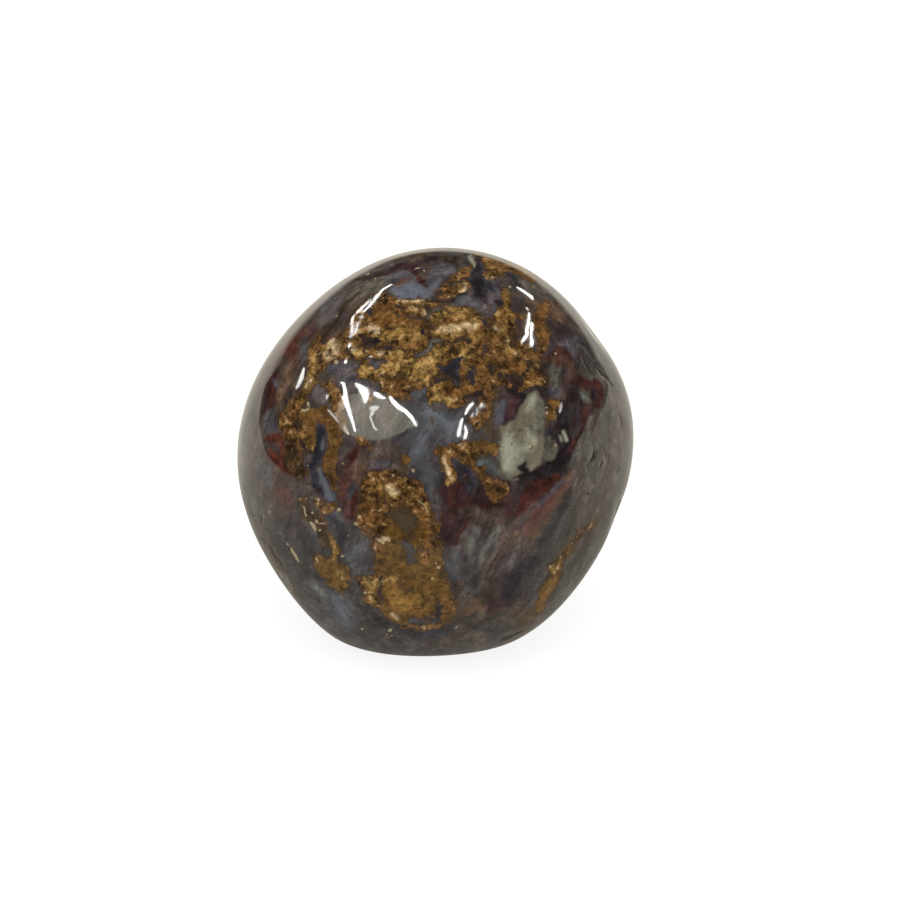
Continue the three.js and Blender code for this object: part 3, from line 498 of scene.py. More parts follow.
# Lighter, darker and greener places within the gold
ORE_TONES = (
    ("ore_cream", 0.4, (-4.7, 9.35, 0.2), (-4.35, 9.2, 0.3)),
    ("ore_light", 0.5, (-3.4, 8.5, 0.3), (-2.8, 8.5, 0.2)),
    ("ore_cream", 0.4, (-8.2, 7.3, 0.3), (-7.7, 7.5, 0.45), (-7.9, 8.3, 0.4)),
    ("ore_gold", 0.3, (-8, 7.6, 0.15)),
    ("ore_cream", 0.4, (-4.1, 7.4, 0.15), (-3.8, 7.4, 0.18)),
    ("ore_light", 0.4, (-3.5, 6.9, 0.2), (-3.3, 6.6, 0.2)),
    ("ore_light", 0.5, (-5.4, 6.2, 0.3), (-5, 6.3, 0.3)),
    ("ore_light", 0.5, (-2.1, 7.7, 0.25), (-1.5, 8.4, 0.3), (-0.9, 8.8, 0.2)),
    ("ore_light", 0.4, (-2, 5.7, 0.2), (-0.9, 5.4, 0.2), (-0.2, 5.9, 0.15)),
    ("ore_light", 0.4, (0.3, 5.2, 0.2), (0, 3.9, 0.2), (1.2, 3.6, 0.15)),
    ("ore_light", 0.4, (2.6, 7.8, 0.2), (2.1, 6.9, 0.2), (3, 5.3, 0.15)),
    ("ore_light", 0.5, (-6.2, 7.6, 0.3), (-5.6, 7.8, 0.2)),
    ("ore_cream", 0.3, (-2.4, 11.35, 0.05), (-1.5, 11.3, 0.06), (-0.7, 11.45, 0.05)),
    ("ore_light", 0.4, (-1.7, 10.5, 0.1), (-1.1, 10.4, 0.12)),
    ("ore_dark", 0.5, (-2.4, 11.05, 0.08), (-1.6, 10.95, 0.1), (-0.9, 11, 0.08)),
    ("ore_dark", 0.5, (-0.9, 10.1, 0.15), (-0.6, 9.7, 0.15), (-0.5, 9.2, 0.1)),
    ("ore_dark", 0.4, (-5.4, 8.7, 0.2), (-5.1, 8.2, 0.25), (-6.3, 7.7, 0.1)),
    ("ore_dark", 0.4, (-3.6, 9.3, 0.1), (-2.8, 9.2, 0.08)),
    ("ore_orange", 0.5, (-1.9, 7.9, 0.3), (-1.1, 8.1, 0.2)),
    ("ore_light", 0.5, (0.4, 10.2, 0.15), (1.2, 10.7, 0.2), (2.2, 10.7, 0.2), (2.8, 10.2, 0.2)),
    ("ore_orange", 0.5, (0.8, 9.9, 0.15), (1.5, 9.8, 0.25), (2.2, 9.8, 0.2)),
    ("ore_light", 0.6, (-1.8, 6.6, 0.25), (-1, 6.2, 0.3), (-0.3, 6.7, 0.3), (0.4, 7, 0.3)),
    ("ore_light", 0.5, (-2.9, 6.3, 0.2)),
    ("ore_dark", 0.4, (-4.2, 5.8, 0.1), (-3.1, 5.6, 0.15), (-2.4, 5.9, 0.1)),
    ("ore_cream", 0.5, (0.3, 9.2, 0.15), (1, 9.3, 0.2), (1.8, 9.3, 0.15), (2.5, 9.5, 0.15)),
    ("ore_cream", 0.4, (2.5, 9.2, 0.1), (3, 9.5, 0.12)),
    ("ore_dark", 0.25, (0.7, 10.1, 0.06), (0.85, 9.9, 0.06)),
    ("ore_dark", 0.4, (1.1, 7.5, 0.12), (1.7, 7.4, 0.15), (1.9, 8, 0.1)),
    ("ore_orange", 0.5, (2.8, 6.7, 0.2), (3.4, 6, 0.2)),
    ("ore_cream", 0.3, (3.6, 13.2, 0.08), (4.1, 13.1, 0.12)),
    ("ore_light", 0.3, (3.9, 13.5, 0.2)),
    ("ore_cream", 0.3, (2, 12.25, 0.08), (2.35, 12.35, 0.12), (2.3, 12.6, 0.08)),
    ("ore_dark", 0.3, (1.5, 12, 0.1), (2, 11.95, 0.12), (0.4, 11.4, 0.12)),
    ("ore_dark", 0.5, (1.2, 12.2, 0.15), (1.6, 12.6, 0.15), (1.7, 13.2, 0.15)),
    ("ore_cream", 0.3, (4.6, 9.3, 0.08), (4.9, 9.1, 0.08)),
    ("ore_light", 0.4, (5.2, 8.4, 0.12), (5.6, 7.6, 0.12), (5.95, 7.4, 0.12)),
    ("ore_dark", 0.4, (5, 8.7, 0.1), (5.6, 8.2, 0.12)),
    ("ore_dark", 0.4, (6.2, 6.9, 0.12), (7, 6.7, 0.1), (7.4, 6.3, 0.1)),
    ("ore_dark", 0.4, (7.3, 6.3, 0.15), (7.9, 6.1, 0.25), (8.2, 5.9, 0.15)),
    ("ore_gold", 0.4, (6.6, 5.7, 0.15), (7.3, 5.3, 0.2), (7.8, 5.2, 0.15)),
    ("ore_light", 0.4, (-9.4, 7.4, 0.15), (-9.5, 6.6, 0.12), (-8.8, 6.4, 0.12)),
    ("ore_dark", 0.3, (-8.9, 7.3, 0.15), (-8.8, 6.6, 0.1)),
    ("ore_gold", 0.4, (-9.4, 5.4, 0.12), (-9.9, 4.5, 0.15), (-10.4, 3.3, 0.15), (-10.1, 1.3, 0.2)),
    ("ore_dark", 0.3, (-10.3, 2.1, 0.1), (-10.3, 1.6, 0.14)),
    ("ore_light", 0.4, (-9.2, 0.6, 0.12), (-9, 0.2, 0.12)),
    ("ore_orange", 0.4, (-8.3, 2.4, 0.3), (-7.7, 1.9, 0.3)),
    ("ore_dark", 0.8, (-7.9, -0.9, 0.15), (-7.9, -1.6, 0.2), (-7.8, -2.3, 0.15)),
    ("ore_olive", 0.5, (-7.2, 3, 0.2), (-6.7, 2.4, 0.2)),
    ("ore_cream", 0.3, (1, -1.5, 0.1), (1.2, -1.9, 0.12), (0.55, -0.4, 0.12)),
    ("ore_olive", 0.6, (3.4, 0.5, 0.4), (4.3, 0.2, 0.4)),
    ("ore_cream", 0.5, (-3.6, -2.8, 0.2), (-3.2, -3, 0.25)),
    ("ore_light", 0.3, (-9.6, 5.7, 0.2), (-9.8, 5, 0.28), (-10.1, 4.2, 0.1)),
    ("ore_cream", 0.3, (-9.7, 5.3, 0.06), (-9.85, 4.9, 0.08)),
    ("ore_light", 0.4, (-1.3, -3.5, 0.12), (-0.8, -4, 0.15), (-0.6, -4.6, 0.1)),
    ("ore_window", 0.6, (-2.4, -4.1, 0.5), (-2.1, -5.1, 0.6), (-2, -6.2, 0.5)),
    ("ore_cream", 0.3, (-4.4, -6.6, 0.1), (-4, -6.7, 0.15), (-3.6, -6.6, 0.12)),
    ("ore_dark", 0.4, (-0.4, -5, 0.15), (-0.1, -6, 0.2), (-0.1, -6.9, 0.2)),
    ("ore_orange", 0.5, (-5, -5.3, 0.2), (-4.6, -4.4, 0.2)),
    ("ore_dark", 0.6, (-1.9, -9.3, 0.05), (-1.2, -9.2, 0.05)),
    ("ore_cream", 0.4, (-3.3, -12.1, 0.1), (-3, -12.3, 0.1)),
    ("ore_light", 0.5, (-3.1, -9.6, 0.2), (-4.9, -10.1, 0.2), (-5.3, -9.7, 0.15)),
    ("ore_light", 0.5, (-7.2, -9, 0.25), (-7, -9.3, 0.2)),
    ("ore_light", 0.4, (8.7, -8.7, 0.15), (9.1, -8.6, 0.15)),
)

# Small pale grains
FLECKS = (
    (-7.8, 8.35, 0.16), (-7.5, 6.75, 0.17), (-3.4, 7.45, 0.1), (-4.5, 9.4, 0.12), (-4.2, 8.95, 0.1),
    (-5.1, 13.35, 0.1), (-4.5, 13.05, 0.07), (-3.35, 14, 0.09), (-7.5, 10.2, 0.07), (-0.9, 13.65, 0.08),
    (1.45, 12.6, 0.09), (2.35, 12.3, 0.08), (1, 11.7, 0.09), (3.75, 13.15, 0.07), (4.2, 13.15, 0.08),
    (5.5, 12.45, 0.1), (7.3, 12.4, 0.08), (5.9, 7.4, 0.12), (5.4, 8.35, 0.09), (8.95, 7.35, 0.1),
    (4.55, 9.3, 0.08), (4.75, 9.75, 0.07), (8.2, 5.25, 0.08), (8.35, 2.95, 0.1), (8.3, 3.3, 0.07),
    (9, 0.45, 0.1), (7.1, 0.4, 0.12), (0.5, -0.4, 0.12), (1.2, -1.9, 0.12), (1.05, -1.4, 0.07),
    (0.9, -2.6, 0.08), (-1.75, -1.4, 0.14), (-3.2, -1.8, 0.08), (-9.65, -1, 0.08), (-7, -0.8, 0.08),
    (-5.7, -4.9, 0.16), (-6, -5.45, 0.13), (-7.3, -4.3, 0.17), (-4.75, -4.45, 0.09), (-6.6, -6.35, 0.08),
    (-7, -7.8, 0.1), (-3.9, -6.45, 0.14), (-4.3, -6.65, 0.12), (-3.5, -6.7, 0.12), (-4, -6.85, 0.1),
    (-5.3, -10.55, 0.1), (-1.25, -8.7, 0.07), (0.05, -8.35, 0.11), (0.25, -8.65, 0.13), (-0.2, -9.5, 0.1),
    (-3.45, -13.35, 0.13), (-3.65, -13.65, 0.07), (-3.3, -13.8, 0.07), (-5.5, -13.2, 0.08),
    (-0.9, -13.2, 0.1), (-2.45, -12.85, 0.08), (-8.85, -3.6, 0.12), (-9.75, -3.6, 0.06), (-9.3, -4.55, 0.1),
    (-8.7, -5.9, 0.08), (-12.9, -4.95, 0.07), (-13.2, -3.2, 0.06), (-12.55, -4.55, 0.06), (8.6, -8.6, 0.1),
    (9.1, -8.65, 0.12), (8.8, -9, 0.1), (9.35, -7.85, 0.07), (12.1, -4.4, 0.08), (10.2, -6.9, 0.06),
    (1.5, -13.1, 0.08),
)

# Pale and dark threads: chains as above, without a softness
THREADS = (
    ((-10.1, 3.1, 0.09), (-9.85, 3.1, 0.1), (-9.55, 3.3, 0.05), (-9.6, 3.65, 0.1)),
    ((-10, -4.1, 0.05), (-9.8, -4.8, 0.06)),
    ((-9.45, -5.3, 0.1), (-9.2, -5.6, 0.13), (-9, -6, 0.05)),
    ((-9.1, -5.1, 0.08), (-8.85, -5.4, 0.07), (-8.35, -5.4, 0.06)),
    ((-11.25, -6.75, 0.06), (-11.05, -6.95, 0.05)),
    ((-10.9, -7.2, 0.09), (-10.7, -7.6, 0.1), (-10.3, -8.15, 0.06)),
    ((-8.95, -8, 0.06), (-8.8, -8.3, 0.06)),
    ((-1.7, 13.7, 0.03), (-1.25, 13.9, 0.05)),
    ((-4.1, 13.05, 0.03), (-3.75, 13.2, 0.04)),
    ((-1.3, -3.6, 0.05), (-0.8, -4.1, 0.06), (-0.6, -4.5, 0.04)),
)
CRACKS = (
    ((-2.3, 10.25, 0.05), (-1.9, 10.1, 0.09), (-1.3, 10.05, 0.11), (-0.8, 10.15, 0.09),
     (-0.6, 10.4, 0.05)),
    ((-3, 10.4, 0.04), (-2.7, 10.2, 0.08)),
    ((-1.3, 11, 0.05), (-1.15, 10.6, 0.07)),
    ((-0.6, 11.3, 0.05), (0.1, 11.45, 0.08), (0.9, 11.3, 0.08), (1.6, 11.5, 0.05)),
    ((-5, 7, 0.06), (-4.7, 7.1, 0.04)),
    ((11.75, 6.45, 0.04), (12.2, 6.2, 0.1), (12.5, 5.8, 0.1), (12.9, 5.3, 0.05), (13.35, 4.85, 0.04)),
    ((11, 7.8, 0.05), (11.1, 7, 0.08), (11.35, 6.4, 0.08), (11.55, 5.9, 0.05)),
    ((11.8, 5.4, 0.1), (12, 5.6, 0.06)),
    ((12.7, 0.2, 0.05), (12.78, -0.35, 0.06)),
    ((12.6, -0.5, 0.04), (12.45, -1, 0.06), (12.1, -1.5, 0.05)),
    ((11.95, 0.3, 0.05), (11.8, -0.5, 0.09), (11.35, -1.2, 0.05)),
    ((13.75, -1.2, 0.05), (13.6, -1.6, 0.05)),
    ((13.75, 3, 0.04), (14, 2, 0.04)),
    ((11.45, -3, 0.06), (11.35, -3.2, 0.07)),
    ((13.4, -5.1, 0.05), (13.6, -4.4, 0.07), (13.9, -3.6, 0.04)),
    ((4.8, -7.5, 0.04), (4.3, -8.3, 0.05), (3.95, -9, 0.05)),
    ((4.8, -14.05, 0.08), (5.3, -13.9, 0.12), (5.9, -13.65, 0.09), (6.6, -13.3, 0.05)),
    ((-14, -4.7, 0.05), (-13.4, -4.9, 0.07), (-12.9, -5, 0.04)),
    ((-13.05, -5, 0.05), (-13.05, -5.4, 0.07)),
    ((-12.7, -5.8, 0.04), (-12, -5.95, 0.05)),
    ((-13.2, -6.4, 0.04), (-12.8, -6.8, 0.04)),
    ((-12.5, -7, 0.04), (-12.1, -7.7, 0.06), (-11.5, -8.5, 0.04)),
    ((-10.4, -5.4, 0.05), (-9.8, -5.7, 0.05)),
    ((-2.2, -10.3, 0.05), (-1.6, -10.55, 0.06)),
    ((-5.7, -11.4, 0.08), (-5.6, -11.7, 0.05)),
    ((-0.6, -7.2, 0.05), (-0.5, -7.8, 0.06)),
)

# Mirror images of the studio's strip lights in the polish, as chains on the same plane
STRIP_LIGHTS = (
    ((-3.3, 12.6, 0.02), (-4, 12.2, 0.04), (-4.5, 11.6, 0.05), (-4.95, 11, 0.05), (-5.5, 10.45, 0.04)),
    ((-5.5, 10.2, 0.06), (-5.6, 10, 0.05)),
    ((-5.8, 9.8, 0.03), (-5.95, 9.3, 0.04), (-6.2, 8.7, 0.03)),
    ((-4.9, 11.45, 0.03), (-5.4, 10.95, 0.05), (-5.95, 10.42, 0.05)),
    ((-6.1, 10.3, 0.03), (-6.3, 9.9, 0.05), (-6.3, 9.2, 0.05), (-6.4, 8.6, 0.04)),
    ((-6.5, 8.25, 0.04), (-6.55, 7.85, 0.06)),
    ((-6.8, 6.9, 0.08), (-6.85, 6.6, 0.1)),
    ((-7.2, 5.15, 0.04), (-6.95, 5.05, 0.08), (-6.8, 4.5, 0.1), (-6.75, 3.9, 0.15), (-6.5, 3.2, 0.12),
     (-6.2, 2.3, 0.08), (-6, 1.5, 0.06)),
    ((-6.1, 5.05, 0.04), (-5.7, 4.75, 0.16), (-5.4, 4.45, 0.26), (-5.3, 4, 0.16), (-5.37, 3.7, 0.08)),
    ((-4.75, 4.4, 0.1), (-4.4, 4.2, 0.13), (-4.1, 4.05, 0.08), (-3.85, 4, 0.05)),
    ((-3.55, 4.15, 0.06), (-3.3, 3.8, 0.12), (-2.8, 3.35, 0.14), (-2.3, 3.05, 0.12), (-1.9, 2.6, 0.11),
     (-1.65, 2.2, 0.08), (-1.5, 1.85, 0.07)),
    ((2.8, 3.62, 0.08), (2.5, 3.35, 0.09), (2.2, 2.8, 0.06)),
    ((2.03, 2.6, 0.06), (1.85, 1.9, 0.08), (1.65, 1.2, 0.1)),
    ((2.2, 2.1, 0.03), (2.32, 1.6, 0.1), (2.15, 1.05, 0.09)),
    ((3.45, 3.62, 0.06), (3.38, 3.25, 0.09)),
    ((7, 10.45, 0.05), (6.95, 9.8, 0.08), (6.8, 9.2, 0.1), (6.85, 8.85, 0.1), (6.6, 8.5, 0.11),
     (6.42, 8.2, 0.07)),
    ((7.2, 9.8, 0.05), (7.17, 9.2, 0.08), (7.15, 8.75, 0.06), (7.25, 8.3, 0.11), (7.2, 7.85, 0.08)),
)
FAINT_LIGHTS = (
    ((-9.85, 6.4, 0.05), (-10.05, 5.6, 0.14), (-10.3, 5, 0.1), (-10.5, 4.7, 0.05)),
    ((-9.4, 5.5, 0.04), (-9.35, 5.2, 0.06)),
    ((-8.15, 4.35, 0.07), (-8.15, 4, 0.08)),
    ((-8.1, 3.3, 0.03), (-7.6, 2.7, 0.04), (-7.3, 2.3, 0.04)),
    ((-7.5, 3, 0.04), (-7.4, 2.7, 0.05)),
    ((-6.95, 2.1, 0.04), (-6.8, 1.75, 0.07), (-6.55, 1.3, 0.07)),
    ((-5, 3.35, 0.1), (-4.65, 3.3, 0.17), (-4.3, 3.38, 0.07)),
    ((-4.7, 3.15, 0.15), (-4.9, 2.7, 0.05), (-4.75, 2.3, 0.05), (-4.6, 1.85, 0.06), (-4.35, 1.62, 0.06)),
    ((3.05, 3.3, 0.04), (3.1, 3, 0.05), (3.02, 2.7, 0.05)),
    ((2.82, 2.95, 0.05), (2.65, 2.6, 0.06)),
    ((6, 12.4, 0.05), (6.5, 12.1, 0.07), (6.9, 11.8, 0.08), (7.2, 11.6, 0.1), (7.32, 11.35, 0.05)),
    ((6.75, 10.8, 0.04), (6.95, 10.6, 0.05)),
    ((9.42, 3.7, 0.03), (9.36, 3.3, 0.05), (9.25, 2.9, 0.05)),
)
SOFT_PANELS = (
    ((-6.75, 4.1, 0.5), (-6.4, 3.5, 1), (-6, 3.1, 1.6), (-5, 2.7, 1.5), (-4, 2.5, 1.4), (-3, 2.35, 1.05),
     (-2.2, 2.25, 0.65), (-1.6, 2.05, 0.2)),
)

# Near edge of the pale floor that the polish mirrors, seen from above: x and y in millimetres
MIRRORED_EDGE = ((-294, 211), (-140, 23), (-136, -36), (-117, -58), (-60, -48), (0, -44), (23, -44),
                 (62, -37), (113, -22), (500, 100))

# Where the mirrored floor's light changes, from and to, in millimetres: the ring round the stone where its
# shadow is painted into the mirrored floor, the rise towards the distance, the fall to the right, and the
# rise from in front to behind
STONE_SHADOW_RING = (14, 45)
FAR_RISE = (90, 300)
RIGHT_FALL = (-40, 60)
FRONT_RISE = (-30, 30)

# Matt floor: size of its soft mottles in millimetres, and its darkest and lightest grey
FLOOR_MOTTLE = 60.0
FLOOR_SHADES = (0.24, 0.26)

WHITE = (1.0, 0.99, 0.96)
PALE_OLIVE = (1.0, 0.97, 0.76)
LIGHT_BREADTH = 1.2  # mirrored lights are this many times wider than drawn
LIGHT_STEP = 0.12  # millimetres between two rows of a mirrored light's corners
PANEL_DISTANCE = 1.1  # soft panels are this many times farther away than the strips

# Where a sight line meets the skin: how often it is halved, and the step that measures the slope there
HALVINGS = 40
SLOPE_STEP = 0.05

# Minerals of the sides and the back, strewn with a seed:
# colour, number of patches, smallest and largest half width, number of places in the chain
STREWN_GROUND = (
    ("grey_brown", 18, 1.0, 2.4, 3),
    ("mauve_grey", 16, 0.8, 2.2, 4),
    ("violet_grey", 20, 0.5, 1.6, 4),
    ("blue_grey", 20, 0.5, 1.6, 5),
    ("brown_mauve", 18, 0.5, 1.6, 4),
    ("brown", 12, 0.6, 1.8, 4),
    ("red_mauve", 14, 0.4, 1.3, 5),
    ("dark_maroon", 12, 0.5, 1.4, 4),
    ("blue", 12, 0.3, 0.9, 4),
    ("maroon", 14, 0.3, 1.0, 5),
    ("red_brown", 12, 0.2, 0.7, 5),
    ("salmon", 7, 0.2, 0.6, 5),
    ("dark_grey", 12, 0.3, 1.0, 4),
    ("dark_red", 14, 0.1, 0.4, 6),
)
STREWN_ORE = (
    ("ore_brown", 26, 0.5, 2.6, 6),
    ("ore_gold", 22, 0.3, 1.6, 5),
    ("ore_orange", 10, 0.4, 1.2, 4),
    ("ore_smooth", 8, 0.4, 1.2, 4),
)
STREWN_WINDOWS = (
    ("blue_grey", 14, 0.2, 0.8, 4),
    ("violet_grey", 10, 0.2, 0.7, 4),
    ("dark_violet", 12, 0.15, 0.5, 4),
    ("pale_green", 6, 0.06, 0.2, 4),
    ("quartz", 4, 0.5, 1.2, 3),
    ("near_black", 12, 0.08, 0.3, 4),
)
STREWN_TONES = (
    ("ore_light", 22, 0.2, 0.6, 3),
    ("ore_cream", 18, 0.1, 0.3, 2),
    ("ore_dark", 16, 0.1, 0.3, 3),
)
STREWN_FLECKS = 60
STREWN_CRACKS = 14
STREWN_SEED = 11
STREWN_STEP = 1.6  # millimetres between two places of a strewn chain
STREWN_LEAN = 0.75  # share of each step that follows the stone's own flow

# Direction that the fibres flow in, across, along and through the broad face
FLOW = (0.42, 0.9, 0.12)

# How uneven each mineral is, from 0 to 1, and the ones that have no row
USUAL_UNEVENNESS = 0.7
UNEVENNESS = {
    "quartz": 0.3,
    "quartz_light": 0.2,
    "quartz_grey": 0.5,
    "blue": 0.25,
    "violet_light": 0.3,
    "blue_violet": 0.3,
    "blue_grey": 0.4,
    "pale_green": 0.4,
    "grey_face": 0.6,
    "grey": 0.6,
    "salmon": 0.4,
    "orange_red": 0.5,
    "near_black": 0.3,
    "ore_smooth": 0.5,
    "ore_amber": 0.6,
    "ore_brown": 1.0,
    "ore_gold": 1.0,
    "ore_light": 0.9,
    "ore_cream": 0.7,
    "ore_dark": 0.8,
    "ore_orange": 0.7,
    "ore_olive": 0.45,
    "ore_window": 0.25,
    "window_olive": 0.25,
    "window_blue": 0.25,
}

# Streaks in the ground are drawn out this many times along the flow, which wanders by this many millimetres
# over cells of this size
STREAK_STRETCH = 3.5
FLOW_BEND = 1.2
FLOW_BEND_CELL = 5.0

# Plain chalcedony's broad and fine clouds in millimetres, and the share of their length along the flow
# that is taken out before the noise is read
GROUND_CELLS = (2.2, 0.8)
GROUND_DRAWN = 0.8

# Edges of the markings are shifted by soft noise: cell size and shift in millimetres
EDGE_WARPS = ((0.4, 0.1), (0.9, 0.14), (2.2, 0.16), (4.5, 0.12))

# The gold's edges are this many times softer than drawn, and noise then frays them
GOLD_SOFTENING = 1.9

# Softness of the edges of the small grains and the cracks, in front and on the back, in millimetres
FLECK_SOFTNESS = 0.2
BACK_FLECK_SOFTNESS = 0.14
CRACK_SOFTNESS = 0.16

# Shares of the edge shift that small marks in front and all marks on the back get
SMALL_MARK_SHIFT = 0.4
BACK_SHIFT = 1.6

# Soft noise repeats after this many cells
LATTICE = 64

# Seeds of the soft noise and the waves, each the first of its run
GROUND_SEED = 21
FRONT_SHIFT_SEEDS = (31, 41)
BACK_SHIFT_SEED = 51
FADE_SEED = 61
WAVE_SEED = 71
ORE_RELIEF_SEED = 72
FLOW_SEED = 81

# The ball's faces are made smaller in front by this much
FRONT_PULL = 0.35

# Corners closer than this, in millimetres, are one corner
WELD_GAP = 0.001

# Soft waves left by tumbling: how many, and their shortest and longest length in millimetres
WAVES = 14
WAVE_LENGTHS = (2.4, 5.0)

# The gold's relief follows noise of this cell in millimetres
ORE_RELIEF_CELL = 0.45

# Noises of the stone's material: cell in millimetres, detail, roughness and distortion.
# The even ones have round cells, the flowing ones are drawn out along the flow.
EVEN_NOISES = {
    "fray": (0.3, 5.0, 0.7, 0.6),
    "bays": (0.9, 4.0, 0.6, 1.2),
    "cloud": (1.3, 3.0, 0.55, 0.8),
    "grains": (0.6, 5.0, 0.62, 1.2),
    "fine_grains": (0.2, 3.0, 0.6, 0.6),
    "tawny": (2.2,),
    "slits": (0.7, 4.0, 0.6, 1.5),
    "mottle": (0.9, 5.0, 0.65, 0.8),
    "specks": (0.13,),
    "smudge": (1.4, 3.0),
}
FLOWING_NOISES = {
    "streaks": (1.0, 4.0, 0.6, 0.4),
    "fine_streaks": (0.35, 3.0, 0.55, 0.2),
    "warm": (1.6, 4.0, 0.6, 0.8),
    "veins": (1.1, 5.0, 0.6, 1.0),
}

# The gold's angular crystals, and the noise that bends their edges, in millimetres
CRYSTAL = 0.34
CRYSTAL_BEND = 0.5

# Brightness of the gold and of the ground along their noise: place, and times the painted colour
GOLD_LEVELS = ((0.06, 0.1), (0.3, 0.5), (0.5, 1.0), (0.68, 1.6), (0.92, 2.5))
GROUND_LEVELS = ((0.05, 0.3), (0.5, 0.9), (0.95, 2.1))

# Roughness of the polish, lowest and highest, and how much duller open cracks are
POLISH = (0.03, 0.07)
CRACK_DULLNESS = 0.3
QUARTZ_IOR = 1.54

# The painted front fades into the strewn back over this depth, measured from the centre to the eye.
# The line between them wanders by soft noise: size and cell in millimetres.
FRONT_STARTS = -2.5
FRONT_FULL = 1.0
FADE_WANDER = 1.2
FADE_CELL = 2.5


def bearing_vector(bearing, tilt):
    """Unit vector at a bearing round the rim of the broad face, tilted towards its middle."""
    turn, rise = math.radians(bearing), math.radians(tilt)
    return np.array((math.cos(turn) * math.cos(rise), math.sin(turn) * math.cos(rise), math.sin(rise)))


def unit(vectors):
    """Each row divided by its length."""
    return vectors / np.linalg.norm(vectors, axis=-1, keepdims=True)


def smooth(values):
    """Eased step from 0 to 1: 3t^2 - 2t^3 of the value held between 0 and 1."""
    held = np.clip(values, 0, 1)
    return held * held * (3 - 2 * held)


def lattice_noise(points, cell, seed):
    """Soft noise from -1 to 1: seeded values at the corners of a cubic lattice, blended across each cube
    by the eased step along each axis."""
    values = np.random.default_rng(seed).uniform(-1, 1, (LATTICE, LATTICE, LATTICE))
    place = points / cell
    corner = np.floor(place).astype(int)
    part = smooth(place - corner)
    total = np.zeros(len(points))
    for side in itertools.product((0, 1), repeat=3):
        share = np.prod(np.where(side, part, 1 - part), axis=1)
        index = (corner + side) % LATTICE
        total += share * values[index[:, 0], index[:, 1], index[:, 2]]
    return total


def lean_matrix(form):
    """Turns the stone's own axes (across, along, through the broad face) into the room's."""
    sine, cosine = math.sin(form.lean), math.cos(form.lean)
    return np.array(((1, 0, 0), (0, sine, -cosine), (0, cosine, sine)))


def spot_depth(form):
    """Depth of the flat spot below the centre: the bow's depth less its rise over the spot's radius."""
    return (form.underside_depth - form.spot_radius ** 2 / (2 * form.underside_radius)) / MM


def eased_min(a, b, easing):
    """The smaller of two lengths, less a quarter of the easing where they are equal."""
    closeness = np.maximum(easing - np.abs(a - b), 0) / easing
    return np.minimum(a, b) - closeness * closeness * easing / 4


def skin_radius(directions, form):
    """Distance from the centre to the skin along unit directions: an egg of three half sizes, plus each
    lump's height times e to the power (cosine from its centre - 1) / spread squared, held by an eased
    minimum inside the shallow bow of the underside."""
    half = np.array((form.half_across, form.half_along, form.half_through)) / MM
    radius = 1 / np.linalg.norm(directions / half, axis=-1)
    for _, bearing, tilt, height, spread in SWELLS + DENTS:
        nearness = directions @ bearing_vector(bearing, tilt) - 1
        radius = radius + height * np.exp(nearness / math.radians(spread) ** 2)
    bow_radius = form.underside_radius / MM
    bow_height = (form.underside_radius - form.underside_depth) / MM
    down = np.array((0, -math.cos(form.lean), -math.sin(form.lean)))
    reach = bow_height * (directions @ down)
    bow = np.sqrt(reach ** 2 + bow_radius ** 2 - bow_height ** 2) - reach
    return eased_min(radius, bow, form.underside_easing / MM)


def cube_ball(count, pull):
    """Unit directions and four-sided faces of a ball made from the six sides of a cube, each a grid whose
    lines lie at even angles. The pull is added to the third coordinate before the directions are made unit
    again, so that the faces are smaller in front."""
    steps = np.tan(np.linspace(-math.pi / 4, math.pi / 4, count + 1))
    a, b = np.meshgrid(steps, steps, indexing="ij")
    grid = np.arange((count + 1) ** 2).reshape(count + 1, count + 1)
    quads = np.stack((grid[:-1, :-1], grid[1:, :-1], grid[1:, 1:], grid[:-1, 1:]), -1).reshape(-1, 4)
    points, faces = [], []
    for axis, sign in itertools.product(range(3), (1, -1)):
        side = np.empty(a.shape + (3,))
        side[..., axis] = sign
        side[..., (axis + 1) % 3] = a if sign > 0 else b
        side[..., (axis + 2) % 3] = b if sign > 0 else a
        faces.append(quads + len(points) * grid.size)
        points.append(side.reshape(-1, 3))
    directions = unit(np.concatenate(points))
    directions[:, 2] += pull
    return unit(directions), np.concatenate(faces)


def chain_cover(points, softness, chain):
    """How much a chain covers each point, from 0 to 1. For each stretch of the chain it takes the half width
    at the nearest place on it, less the distance to that place; the largest of these, divided by the
    softness and plus a half, goes through the eased step."""
    rows = np.asarray(chain, float)
    places, widths = rows[:, :-1], rows[:, -1]
    depth = np.full(len(points), -np.inf)
    for i in range(max(len(rows) - 1, 1)):
        j = min(i + 1, len(rows) - 1)
        step = places[j] - places[i]
        along = np.clip((points - places[i]) @ step / max(step @ step, 1e-9), 0, 1)
        gap = np.linalg.norm(points - places[i] - along[:, None] * step, axis=1)
        depth = np.maximum(depth, widths[i] + along * (widths[j] - widths[i]) - gap)
    return smooth(depth / softness + 0.5)


